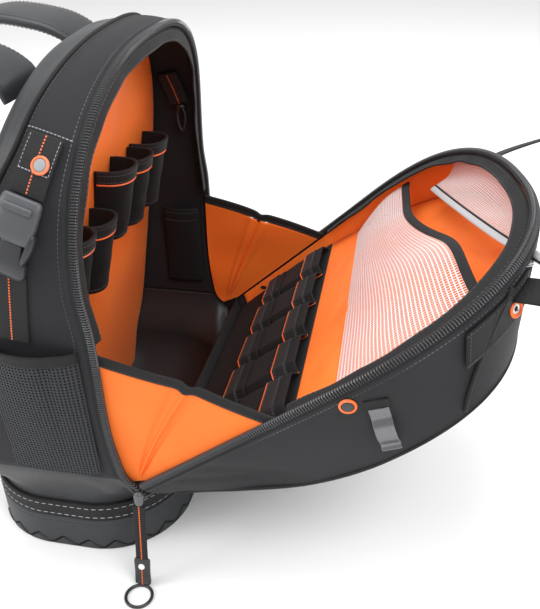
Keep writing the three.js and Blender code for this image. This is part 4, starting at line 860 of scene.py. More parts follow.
# divider, tube pockets, wall pocket and hook
def dividerHalf(z):
    rise = np.clip((z - bandTop) / (heightOf["tub"] - bandTop), 0, 1)
    radius = lerp(base["corner"] - tubInset, corner, ease(rise)) - wall
    rear = lerp(100 - tubInset, backY(heightOf["tub"]), rise) - wall
    past = np.maximum(0, dividerY(z) + 3 - (rear - radius))
    low = (lerp(base["width"] / 2 - tubInset, halfAt(heightOf["tub"], body), ease(rise)) - wall - radius
           + np.sqrt(np.maximum(radius**2 - past**2, 0)) - 2.4)
    return np.where(z > heightOf["tub"], halfAt(z, body, wall) - 1.2, low)


def makeDivider():
    x, up = archPoint(np.linspace(0.26, 0.4999, 60), body, wall + 1.2)
    z = np.concatenate([np.linspace(13, 286, 90), up])
    half = np.concatenate([dividerHalf(z[:90]), -x])
    u = np.linspace(-1, 1, 110)
    points = np.stack([half[:, None] * u, np.broadcast_to(dividerY(z)[:, None], (len(z), 110)),
                       np.broadcast_to(z[:, None], (len(z), 110))], -1)
    # soft upright folds hang from the arch and fade below the pockets
    hang = ease((z - 300) / 110)[:, None] * (1 - np.abs(u) ** 8)[None]
    folds = (4.6 * ripple(points * np.array([1, 1, 0.3]), 55, 41) * hang + 1.0 * ripple(points, 70,
                                                                                        42) * (1 - np.abs(u) ** 8)[None])
    points[..., 1] += folds - 0.6
    gridMesh("divider_lining", points, "orange", facing=(0, -1, 0), thick=2.4, side=-1,
             replaces=["divider_panel"])


tubes = [{"across": -0.5, "mouth": 0.668}, {"across": -0.21, "mouth": 0.655},
         {"across": 0.085, "mouth": 0.725},
         {"across": 0.36, "mouth": 0.71}, {"across": 0.63, "mouth": 0.712}]
tubeLook = {"length": 72, "deep": 33, "wide": 41, "wall": 1.6, "hem": 12, "reach": 170}


def tubePoint(tube, u, v, outset=0):
    # half a rounded tube in plan, a little narrower at its foot; u turns round it and v runs up it
    mouth = tube["mouth"] * heightOf["top"]
    z = lerp(mouth - tubeLook["length"], mouth, v)
    narrow = lerp(0.82, 1, v)
    angle = (u - 0.5) * np.pi
    half = tubeLook["wide"] / 2 * narrow + outset
    deep = tubeLook["deep"] * narrow + outset
    return np.stack(np.broadcast_arrays(tube["across"] * tubeLook["reach"] + half * np.sin(angle),
                                        dividerY(z) - gap - deep * np.sqrt(np.abs(np.cos(angle)) + 1e-4), z),
                    -1)


def makeTubes():
    # even steps round the tube
    fine = np.linspace(0, 1, 2000)
    outline = tubePoint(tubes[0], fine, np.ones(2000))
    run = np.concatenate([[0], np.cumsum(np.linalg.norm(np.diff(outline, axis=0), axis=1))])
    u = np.interp(np.linspace(0, run[-1], 60), run, fine)
    for number, tube in enumerate(tubes, 1):
        v = np.linspace(0, 1, 40)
        points = tubePoint(tube, u[:, None], v[None])
        middle = np.array([tube["across"] * tubeLook["reach"], 0, 300.0])
        dents = 0.9 * ripple(points, 26, 50 + number) * np.sin(np.pi * u)[:, None]
        away = gridNormals(points, outFrom=middle)
        points = points + away * np.minimum(dents, 0.2)[..., None]
        gridMesh(f"tube_pocket_{number}_cloth", points, "innerCloth", outFrom=middle, thick=tubeLook["wall"],
                 side=-1, replaces=[f"tube_pocket_{number}"])
        hemShare = tubeLook["hem"] / tubeLook["length"]
        hem = tubePoint(tube, u[2:-2, None], np.linspace(1 - hemShare, 1, 8)[None], 0.3)
        gridMesh(f"tube_hem_{number}", hem, "binding", outFrom=middle, thick=0.9, side=1)
        away = gridNormals(hem, outFrom=middle)
        for row in (1, 5):
            stitch("darkThread", hem[:, row] + away[:, row] * 0.95, away[:, row], 3.2, 2.1, 0.6)
        trim = tubePoint(tube, u[2:-2], np.full(56, 1 - hemShare - 0.018), 0.35)
        sweepMesh(f"tube_trim_{number}", trim, (0, 0, 1), ringProfile(8, 0.9, 1.1), "orangeTrim")
        foot = tubePoint(tube, u[3:-3], np.full(54, 0.05), 0.15)
        stitch("darkThread", foot, unit(foot - np.array([tube["across"] * tubeLook["reach"], 0, foot[0, 2]])),
               3.2, 2.1, 0.6)


def makeWallPocket():
    z = np.linspace(130, 226, 40)
    u = np.linspace(0, 1, 36)
    y = lerp(-55, -12, u)
    stand = 9 * np.sin(np.pi * u)[:, None] ** 0.5 * lerp(0.3, 1, (z - 130) / 96)[None]
    points = np.stack(np.broadcast_arrays(halfAt(z, body, wall + gap)[None] - stand - 1.6, y[:, None],
                                          z[None]), -1)
    gridMesh("wall_pocket_cloth", points, "innerCloth", facing=(-1, 0, 0), thick=1.4, side=-1,
             replaces=["wall_pocket"])
    stitch("darkThread", points[:, -3] + np.array([-0.2, 0, 0]), (-1, 0, 0), 3.2, 2.1, 0.6)
    stitch("darkThread", points[:, -7] + np.array([-0.2, 0, 0]), (-1, 0, 0), 3.2, 2.1, 0.6)


def makeHook():
    z = np.linspace(352, 388, 16)
    share = 1 - shareAt(z, body)
    x, up = archPoint(share, body, wall + 2.3)
    middle = lerp(-45, -37, (z - 352) / 36)
    path = np.stack([x, middle, up], -1)
    normal = unit(np.stack([x - archPoint(share, body, wall)[0], 0 * x, up - archPoint(share, body, wall)[1]],
                           -1))
    sweepMesh("hook_webbing", path, normal, ringProfile(16, 11, 1.3, 5), "webbing", replaces=["hook_strap"])
    stitch("orangeThread", path + normal * 1.4, normal, 3.0, 1.8, 1.0)
    angle = np.linspace(0, 2 * np.pi, 40, endpoint=False)
    ringX = float(halfAt(332, body, wall + 3.5))
    loop = np.stack([np.full(40, ringX), -45 + 4.3 * np.cos(angle) * (1 + 0.25 * np.sin(angle)),
                     331.5 + 12.5 * np.sin(angle)], -1)
    across, up = frames(np.concatenate([loop[-1:], loop, loop[:1]]), (1, 0, 0))
    profile = ringProfile(8, 1.4, 1.5)
    loops = loop[:, None] + across[1:-1, None] * profile[:, :1] + up[1:-1, None] * profile[:, 1:]
    loftMesh("snap_hook_steel", loops, "blackMetal", ring=True, replaces=["snap_hook"])
    swivel = [(ringX, -45, z) for z in (343, 344, 346, 347.5, 348.3)]
    size = np.array([0.5, 1, 1.1, 0.9, 0.5])[:, None, None]
    sweepMesh("snap_hook_swivel", swivel, (1, 0, 0), ringProfile(12, 4.4, 2.4)[None] * size, "blackMetal")


makeDivider()
makeTubes()
makeWallPocket()
makeHook()
print("inside of the body made")


# gussets between body and lid
gussetLook = {"body": 146, "lid": 152, "fold": 14, "sag": {-1: 7, 1: -8}, "seam": 0.925, "creaseDeep": 2.6,
              "creaseWide": 0.016}


def gussetPoint(u, v, side):
    # u goes from the body's edge to the lid's, v from the hinge up to the free edge; the middle folds inward,
    # and the top sags on the left and stands up on the right
    z = lerp(103, 97 + gussetLook["body"], v)
    inset = 5 + 1.8 + gap
    bodyEdge = np.stack(np.broadcast_arrays(side * halfAt(z, zipArch, inset), mouthY(z) - 3, z), -1)
    along = lerp(6, gussetLook["lid"], v)
    lidEdge = lidWorld(side * halfAt(along, lidRim, inset), along, -3 + 0 * along)
    p = lerp(bodyEdge, lidEdge, np.asarray(u)[..., None])
    p[..., 0] -= side * gussetLook["fold"] * v * (1 - np.abs(2 * u - 1))
    p[..., 2] -= gussetLook["sag"][side] * v * v * np.sin(np.pi * u)
    return p


def makeGussets():
    u, v = np.meshgrid(np.linspace(0, 1, 161), np.linspace(0, 1, 60), indexing="ij")
    for name, side, seed in (("left", -1, 61), ("right", 1, 64)):
        cloth = gussetPoint(u, v * gussetLook["seam"], side)
        hold = (np.sin(np.pi * u) * np.sin(np.pi * np.clip(v, 0.02, 1) ** 0.7)) ** 0.5
        pinch = (gussetLook["creaseDeep"] * np.exp(-((u - 0.5) / gussetLook["creaseWide"]) ** 2)
                 * ease(v / 0.15))
        puffed = 1.6 * np.exp(-((np.abs(u - 0.5) - 0.06) / 0.03) ** 2) * ease(v / 0.2)
        cloth[..., 0] += side * (pinch - puffed) - side * 2.4 * ripple(cloth * [side, 1, 1], 70, seed) * hold
        piece = gridMesh(f"gusset_{name}_cloth", cloth, "orange", facing=(side, 0, 0), thick=1.2, side=0,
                         replaces=[f"gusset_{name}"])
        high = np.linalg.norm(np.diff(cloth[0], axis=0), axis=1).sum() / 1000
        wide = np.linalg.norm(np.diff(cloth[:, -1], axis=0), axis=1).sum() / 1000
        # the binding wraps the free edge: a rounded section that stands along the cloth
        t = np.linspace(0, 1, 120)
        edge = gussetPoint(t, np.full(120, 0.963), side)
        low = gussetPoint(t, np.full(120, gussetLook["seam"] + 0.004), side)
        dip = 3.0 * np.exp(-((t - 0.5) / 0.035) ** 2)
        upward = unit(edge - low)
        half = np.linalg.norm(gussetPoint(t, np.full(120, 1.0), side) - low, axis=1) / 2
        edge = edge - upward * dip[:, None] + np.array([side, 0, 0]) * (0.6 * dip)[:, None]
        profile = ringProfile(16, 1, 1, 4)
        loops = (edge[:, None] + upward[:, None] * profile[:, :1] * half[:, None, None]
                 + np.array([1.0, 0, 0]) * profile[None, :, 1:] * 1.75)
        loftMesh(f"gusset_binding_{name}_tape", loops, "binding", replaces=[f"gusset_binding_{name}"])
        for face in (-1, 1):
            row = edge - upward * (half * 0.55)[:, None] + np.array([1.8 * face, 0, 0])
            stitch("darkThread", row, (face, 0, 0), 3.4, 2.3, 0.65, 0.05)


def makeCornerWebs():
    # dark cloth that closes each corner at the hinge, from the gusset's foot down to the tub's rim
    u, t = np.meshgrid(np.linspace(0, 1, 24), np.linspace(0, 1, 12), indexing="ij")
    for name, side in (("left", -1), ("right", 1)):
        upper = gussetPoint(u, 0 * u, side) + np.array([0, 0, 1.5])
        y = lerp(-80, -96, u)
        rim = np.stack([side * (145 + np.sqrt(np.maximum(324 - (y + 78) ** 2, 0)) - 2), y,
                        lerp(90, heightOf["tub"], ease((y - mouthY(heightOf["mouth"]) + 4) / 18)) - 3], -1)
        web = lerp(upper, rim, t[..., None])
        web[..., 0] += side * 1.5 * np.sin(np.pi * t)
        gridMesh(f"corner_web_{name}", web, "innerCloth", facing=(side, 0, 0), thick=1.2, side=0)


def makeHinge():
    half = halfAt(heightOf["tub"], body) - 18
    x = np.linspace(-half, half, 60)
    a, b = lidWorld(0, -gap, 2.2), lidWorld(0, -gap, 12.5)
    wedge = [a, lerp(a, b, 0.5) + np.array([0, 1.0, 0]), b, np.array([0, -95.8, 90.6]),
             np.array([0, -92.6, 90.6])]
    loops = np.stack([np.stack([x, np.full(60, p[1]), np.full(60, p[2])], -1) for p in wedge], 1)
    loftMesh("hinge_strip_cloth", loops, "binding", replaces=["hinge_strip"])


makeGussets()
makeCornerWebs()
makeHinge()
print("gussets made")


# lid shell, piping and lining
def lidLoop(depth, inset, drop=0.0, count=300, hingeCount=90):
    # the lid's outline at a share of its depth, from the rim to the outer face, closed across the hinge
    shares = evenShares(lidRim, count)
    rimX, rimUp = archPoint(shares, lidRim, inset)
    faceX, faceUp = archPoint(shares, lidFace, inset)
    plainFace = archPoint(shares, lidFace)[1]
    low = max(0, inset)
    x, along = lerp(rimX, faceX, depth), np.maximum(lerp(rimUp, faceUp, depth), low)
    out = depth * faceDepth(plainFace) - drop
    t = np.linspace(0, 1, hingeCount + 2)[1:-1]
    ends = np.stack([x, along, out], -1)
    bridge = lerp(ends[-1], ends[0], t[:, None])
    return np.concatenate([ends, bridge])


lidLook = {"bulge": 1.6, "ripple": 1.1}


def makeLid():
    loops = []
    for depth in np.linspace(0, 0.95, 36):
        loops.append(lidLoop(depth, -lidLook["bulge"] * np.sin(np.pi * depth / 1.06) ** 0.7
                             * (1 - 0.6 * depth)))
    for angle in np.linspace(0.1, 1, 7) * np.pi / 2:
        loops.append(lidLoop(lerp(0.95, 1.0, np.sin(angle)), 3.4 * (1 - np.cos(angle)) - 0.5 * np.cos(angle)))
    rim = lidLoop(1, 3.4)
    middle = np.array([0, 130, 0])
    for shrink in np.linspace(0.97, 0.03, 24):
        flat = lerp(middle[:2], rim[:, :2], shrink)
        loops.append(np.concatenate([flat, faceDepth(flat[:, 1])[:, None]], 1))
    loops = np.stack(loops)
    away = unit(np.stack([loops[..., 0], loops[..., 1] - 150, (loops[..., 2] - 30) * 2.0], -1))
    rows = np.linspace(0, 1, len(loops))[:, None]
    hold = ease(rows / 0.1)
    soft = lidLook["ripple"] * ripple(loops, 80, 71) * hold
    # slanting creases where the wall nears the hinge
    for side in (-1, 1):
        soft = (soft - 2.2 * (crease(loops, (side * 170, 40, 8), (side * 166, 95, 40), 7)
                              + 0.8 * crease(loops,
                                             (side * 170, 75, 10), (side * 168, 120, 50), 8)) * hold)
    loops = loops + away * soft[..., None]
    world = lidWorld(loops[..., 0], loops[..., 1], loops[..., 2])
    loftMesh("lid_shell_cloth", world, "twill", capped=(False, True), outFrom=lidWorld(0, 150, 10),
             thick=wall,
             side=-1, replaces=["lid_shell"])
    rimRow = lidLoop(0.055, -0.3)[:300]
    rimLine = lidWorld(*rimRow.T)
    stitch("darkThread", rimLine, rimLine - lidWorld(0, 150, 10), 3.6, 2.5, 0.7)

    shares = evenShares(lidFace, 260, 0.02, 0.98)
    x, up = archPoint(shares, lidFace, 0.3)
    path = lidWorld(x, up, faceDepth(archPoint(shares, lidFace)[1]) - 0.5)
    sweepMesh("lid_piping_cord", path, path - lidWorld(0, 150, 0), ringProfile(10, 1.8, 1.8), "binding",
              replaces=["lid_piping"])
    # a second piping turns up over each side wall near the tip
    for side, name in ((-1, "left"), (1, "right")):
        share = lerp(float(shareAt(300, lidRim)), float(shareAt(338, lidRim)), np.linspace(0, 1, 30) ** 1.3)
        depth = lerp(0.93, 0.06, np.linspace(0, 1, 30))
        rimPoint, facePoint = archPoint(share, lidRim, -1.9), archPoint(share, lidFace, -1.9)
        x = lerp(rimPoint[0], facePoint[0], depth) * -side
        path = lidWorld(x, lerp(rimPoint[1], facePoint[1], depth), depth * faceDepth(facePoint[1]))
        sweepMesh(f"lid_tip_piping_{name}", path, path - lidWorld(0, 150, 30), ringProfile(10, 1.7, 1.7),
                  "binding")


def lidHalf(along, out, inset=wall + 1.2 + gap):
    # half width inside the lid at places along it and depths below its rim
    share = np.linspace(0, 0.4999, 1500)
    rimX, rimUp = archPoint(share, lidRim, inset)
    faceX, faceUp = archPoint(share, lidFace, inset)
    deep = faceDepth(archPoint(share, lidFace)[1])
    flatAlong, flatOut = np.broadcast_arrays(np.asarray(along, float), np.asarray(out, float))
    result = []
    for a, o in zip(flatAlong.ravel(), flatOut.ravel()):
        depth = np.clip(o / deep, 0, 1)
        result.append(np.interp(a, lerp(rimUp, faceUp, depth), -lerp(rimX, faceX, depth)))
    return np.array(result).reshape(flatAlong.shape)


def makeLining():
    top = lidSize["long"] - wall - 16
    along = np.concatenate([np.linspace(6, 330, 110), 330 + (top - 330) * np.sin(np.linspace(0, np.pi / 2,
                                                                                             40)[1:])])
    out = liningAt(along)
    half = lidHalf(along, out)
    half[-1] = 0.5
    u = np.linspace(-1, 1, 120)
    grid = np.stack(np.broadcast_arrays(half[:, None] * u, along[:, None], out[:, None]), -1)
    lift = 2.6 * np.abs(ripple(grid, 60, 81)) * (1 - np.abs(u) ** 10)[None]
    grid[..., 2] -= lift * ease((along - 150) / 40)[:, None]
    points = lidWorld(*np.moveaxis(grid, -1, 0))
    gridMesh("lid_lining_cloth", points, "orange", facing=tuple(lidUp), thick=1.3, side=-1,
             replaces=["lid_lining"])
    # orange walls between the lining and the rim
    shares = evenShares(lidRim, 260, 0.02, 0.98)
    t = np.linspace(0.02, 0.98, 14)
    rimX, rimUp = archPoint(shares, lidRim, wall + 1.0)
    faceX, faceUp = archPoint(shares, lidFace, wall + 1.0)
    deep = faceDepth(archPoint(shares, lidFace)[1])
    reach = np.clip(liningAt(rimUp) / deep, 0, 0.9)
    d = t[None] * reach[:, None]
    side = lidWorld(lerp(rimX[:, None], faceX[:, None], d), lerp(rimUp[:, None], faceUp[:, None], d),
                    d * deep[:, None])
    gridMesh("lid_wall_lining", side, "orange", thick=0.5, side=0)
    # a black panel covers the lining from the hinge to the upper loops
    along = np.linspace(7, 152, 60)
    out = liningAt(along) - 0.7
    half = lidHalf(along, out) - 0.6
    panel = lidWorld(half[:, None] * u, along[:, None] + 0 * u, out[:, None] + 0 * u)
    gridMesh("lid_lower_panel", panel, "innerCloth", facing=tuple(lidUp), thick=0.5, side=1)


makeLid()
makeLining()
print("lid made")


# tool loops and nets inside the lid
loopLook = {"count": 5, "high": 9, "web": 24, "rows": (80, 138), "reach": (150, 152), "sleeve": 151}


def loopWave(u):
    return np.minimum(1, 2.2 * np.abs(np.sin(np.pi * loopLook["count"] * u))) ** 0.8 * loopLook["high"]


def makeLoops():
    u = np.linspace(0, 1, 241)
    for name, centre, reach in (("lower", loopLook["rows"][0], loopLook["reach"][0]),
                                ("upper", loopLook["rows"][1], loopLook["reach"][1])):
        along = np.linspace(centre - 12, centre + 12, 14)
        out = liningAt(along)[None] - 1.5 - loopWave(u)[:, None]
        x = reach * (2 * u - 1)[:, None]
        points = lidWorld(x + 0 * out, along[None] + 0 * out, out)
        gridMesh(f"tool_loops_{name}_web", points, "innerCloth", facing=tuple(lidUp), thick=1.3, side=1,
                 replaces=[f"tool_loops_{name}"])
        hem = points[:, :9] + lidUp * 1.45
        gridMesh(f"tool_loops_{name}_hem", hem, "binding", facing=tuple(lidUp), thick=0.8, side=1)
        normal = gridNormals(hem, facing=tuple(lidUp))
        for row in (1, 7):
            stitch("darkThread", hem[:, row] + normal[:, row] * 0.9, normal[:, row], 3.2, 2.1, 0.6)
        edge = lidWorld(x[:, 0], np.full(241, centre - 12.6), out[:, 0] - 1.2)
        sweepMesh(f"tool_loops_{name}_trim", edge, tuple(lidUp), ringProfile(8, 1.3, 1.2), "orangeTrim")
    # sleeves of cloth join the two rows of loops, with an orange line in each valley
    along = np.linspace(92.2, 125.8, 12)
    out = (liningAt(along)[None] - 1.5 - loopWave(u)[:, None] * lerp(0.95, 0.9,
                                                                     np.abs(np.linspace(-1, 1, 12)))[None])
    sleeve = lidWorld(loopLook["sleeve"] * (2 * u - 1)[:, None] + 0 * out, along[None] + 0 * out, out)
    gridMesh("tool_sleeves", sleeve, "innerCloth", facing=tuple(lidUp), thick=1.0, side=1)
    for k in range(1, loopLook["count"]):
        x = loopLook["sleeve"] * (2 * k / loopLook["count"] - 1)
        along = np.linspace(64, 150, 20)
        path = lidWorld(np.full(20, x), along, liningAt(along) - 3.2)
        sweepMesh(f"tool_sleeve_line_{k}", path, tuple(lidUp), ringProfile(8, 1.5, 0.7), "orangeTrim")


def netMesh(name, surface, cellsU, cellsV, hole, look, thick, replaces=(), rounded=False):
    # a sheet cut through by one hole per cell: each cell is a frame between its border and its hole, on both faces
    n = 8 if rounded else 4
    border = np.array([(0, 0), (0.5, 0), (1, 0), (1, 0.5), (1, 1), (0.5, 1), (0, 1), (0, 0.5)]
                      if rounded else [(0, 0), (1, 0), (1, 1), (0, 1)])
    if rounded:
        angle = np.radians([225, 270, 315, 0, 45, 90, 135, 180])
        inner = 0.5 + 0.5 * hole * np.stack([np.cos(angle), np.sin(angle)], -1)
    else:
        inner = 0.5 + (border - 0.5) * hole
    i, j = np.meshgrid(np.arange(cellsU), np.arange(cellsV), indexing="ij")
    cell = np.stack([i.ravel(), j.ravel()], -1)[:, None]
    flat = np.concatenate([cell + border[None], cell + inner[None]], 1) / np.array([cellsU, cellsV])
    points, normal = surface(flat[..., 0], flat[..., 1])
    top = points + normal * thick / 2
    low = points - normal * thick / 2
    every = np.stack([top, low], 1).reshape(-1, 3)
    start = np.arange(len(cell))[:, None, None] * 4 * n
    k = np.arange(n)
    nxt = (k + 1) % n
    upper = np.stack([k, nxt, n + nxt, n + k], 1)
    lower = np.stack([2 * n + nxt, 2 * n + k, 3 * n + k, 3 * n + nxt], 1)
    inside = np.stack([n + k, n + nxt, 3 * n + nxt, 3 * n + k], 1)
    faces = (start + np.concatenate([upper, lower, inside])[None]).reshape(-1, 4)
    # the sheet's outer edge is closed by a strip on each border cell
    sides = []
    step = 2 if rounded else 1
    for edge, mask in ((0, j == 0), (1, i == cellsU - 1), (2, j == cellsV - 1), (3, i == 0)):
        which = np.flatnonzero(mask.ravel())
        for part in range(step):
            a, b = (edge * step + part) % n, (edge * step + part + 1) % n
            sides.append(which[:, None] * 4 * n + np.array([b, a, 2 * n + a, 2 * n + b])[None])
    faces = np.concatenate([faces, *sides])
    merged, index = np.unique(np.round(every, 4), axis=0, return_inverse=True)
    faces = index.reshape(-1)[faces]
    uv = merged[faces][..., :2]
    return addMesh(name, merged, faces.tolist(), look, uv.reshape(-1, 2), replaces=replaces, shade=False)


def surfaceFrom(place, facing):
    # gives points and normals of a surface from its formula, by small steps in its two parameters
    def surface(u, v):
        step = 0.002
        p = place(u, v)
        normal = unit(np.cross(place(u + step, v) - p, place(u, v + step) - p))
        return p, normal * np.sign((normal * np.array(facing)).sum(-1).mean())
    return surface


netLook = {"foot": 190, "rise": 24, "wave": 6.5, "cells": (92, 32), "tipCells": (68, 20), "hole": 0.78,
           "thread": 0.4}


def largeMouth(x):
    return 292 - 22 * np.tanh(x / 55) + 4 * np.cos(x / 30)


def tipMouth(x):
    return 334 - 0.235 * x


halfTable = {"along": np.linspace(150, 380, 60)}
halfTable["out"] = np.linspace(0, 45, 24)
halfTable["half"] = lidHalf(halfTable["along"][:, None], halfTable["out"][None])


def quickHalf(along, out):
    # the same half width, read from a table of places
    a = np.clip((along - 150) / 230 * 59, 0, 58.999)
    o = np.clip(out / 45 * 23, 0, 22.999)
    i, j = a.astype(int), o.astype(int)
    s, t = a - i, o - j
    h = halfTable["half"]
    return (h[i, j] * (1 - s) * (1 - t) + h[i + 1, j] * s * (1 - t) + h[i, j + 1] * (1 - s) * t
            + h[i + 1, j + 1] * s * t)


def largeNetPlace(u, v):
    # a net that rises from the lining toward its mouth, bellied and gathered into slanting folds
    x = (2 * u - 1) * 155
    along = lerp(netLook["foot"], largeMouth(x), v)
    rise = np.sin(np.pi / 2 * np.clip(v, 0, 1))
    fold = (netLook["wave"] * rise * (np.sin(x / 17 + along / 40) * 0.35 + 0.65 * np.sin(x / 41 - 0.4))
            * (1 - np.abs(2 * u - 1) ** 4))
    out = liningAt(along) - 1.6 - netLook["rise"] * rise + np.minimum(fold, 8 * rise) * 0.8
    half = quickHalf(along, out) - 0.6
    return lidWorld(np.sign(x) * np.minimum(np.abs(x), half), along, out)


def tipNetPlace(u, v):
    x = (2 * u - 1) * 116
    edge = 206 + (375 - 206) * (1 - np.clip(np.abs(x) / 168, 0, 1) ** 2.4) ** (1 / 2.4)
    along = lerp(tipMouth(x), edge, v)
    out = lerp(9.5, 2.5, v) + 2.2 * np.sin(np.pi * v) + 1.2 * np.sin(x / 13 + along / 9) * np.sin(np.pi * v)
    return lidWorld(x, along, out)


def makeNets():
    netMesh("net_pocket_large_mesh", surfaceFrom(largeNetPlace, lidUp), netLook["cells"][0],
            netLook["cells"][1], netLook["hole"], "paleNet", netLook["thread"], ["net_pocket_large"])
    u = np.linspace(0, 1, 200)
    mouth = largeNetPlace(u, np.ones(200))
    inward = largeNetPlace(u, np.full(200, 0.97))
    ahead = unit(mouth - inward)
    path = mouth + ahead * 4.0
    tangent = unit(np.gradient(path, axis=0))
    normal = unit(np.cross(tangent, ahead))
    profile = ringProfile(14, 4.4, 1.5, 3)
    loops = path[:, None] + ahead[:, None] * profile[:, :1] + normal[:, None] * profile[:, 1:]
    loftMesh("net_binding_large_tape", loops, "binding", replaces=["net_binding_large"])
    netMesh("net_pocket_tip_mesh", surfaceFrom(tipNetPlace, lidUp), netLook["tipCells"][0],
            netLook["tipCells"][1], netLook["hole"], "paleNet", netLook["thread"], ["net_pocket_tip"])
    mouth = tipNetPlace(u, np.zeros(200))
    ahead = unit(mouth - tipNetPlace(u, np.full(200, 0.05)))
    normal = unit(np.cross(unit(np.gradient(mouth, axis=0)), ahead))
    profile = ringProfile(14, 3.2, 1.2, 3)
    loops = ((mouth + ahead * 2.4)[:, None] + ahead[:, None] * profile[:, :1] + normal[:, None]
             * profile[:, 1:])
    loftMesh("net_tip_band", loops, "netBand")
    loftMesh("net_tip_edge", (mouth - ahead * 1.6)[:, None] + ahead[:, None] * profile[:, :1] * 0.3
             + normal[:, None] * profile[:, 1:] * 1.1, "binding")


makeLoops()
makeNets()
print("inside of the lid made")


# outside of the lid
def lidWall(share, depth, outset=0.0):
    # a point on the lid's side wall, set out along its normal, with that normal and the way round
    def plain(s, d):
        rimPoint, facePoint = archPoint(s, lidRim, -1.2 * min(1, d / 0.45)), archPoint(s, lidFace,
                                                                                       -1.2 * min(1, d / 0.45))
        return np.array([lerp(rimPoint[0], facePoint[0], d), lerp(rimPoint[1], facePoint[1], d),
                         d * faceDepth(archPoint(s, lidFace)[1])])
    round_ = plain(share + 0.002, depth) - plain(share - 0.002, depth)
    down = plain(share, depth + 0.002) - plain(share, depth - 0.002)
    normal = unit(np.cross(round_, down))
    normal = normal if normal[0] * (share - 0.5) > 0 else -normal
    return plain(share, depth) + normal * outset, normal, unit(round_)


def lidWay(v):
    # a direction of the lid's own frame, in the row frame
    return lidWorld(*v) - lidWorld(0, 0, 0)


def discRows(centre, axis, rows, look, name, sides=40, **extra):
    # a turned shape: rows of (radius, height) along an axis
    axis = unit(np.asarray(axis, float))
    a = unit(np.cross(axis, [0.3, 0.2, 1.0] if abs(axis[2]) < 0.9 else [1.0, 0, 0]))
    b = np.cross(axis, a)
    angle = np.linspace(0, 2 * np.pi, sides, endpoint=False)
    loops = [np.asarray(centre) + axis * h + r * (a * np.cos(angle)[:, None] + b * np.sin(angle)[:, None])
             for r, h in rows]
    return loftMesh(name, loops, look, **extra)


def makeRivet(name, centre, axis, node, capLook="greyCap"):
    ring = [(7, 0), (7.2, 0.8), (6.9, 1.7), (6.2, 2.2), (5.5, 2.1), (5.1, 1.5), (5.0, 0.6), (5.0, 0)]
    discRows(centre, axis, ring, "orangeTrim", name + "_ring", ring=True, replaces=[node])
    discRows(centre, axis, [(4.9, 0.1), (4.9, 1.4), (4.4, 1.9), (3, 2.1), (0.6, 2.2)], capLook, name + "_cap")


def flatStrap(name, path, normal, halfWide, thick, look="webbing", dotted=None, **extra):
    # a flat webbing along a path, with a row of orange dots down its middle if wanted
    sweepMesh(name, path, normal, ringProfile(20, halfWide, thick / 2, 6), look, **extra)
    if dotted:
        up = frames(path, normal)[1]
        stitch("orangeThread", np.asarray(path) + up * thick / 2, up, *dotted)


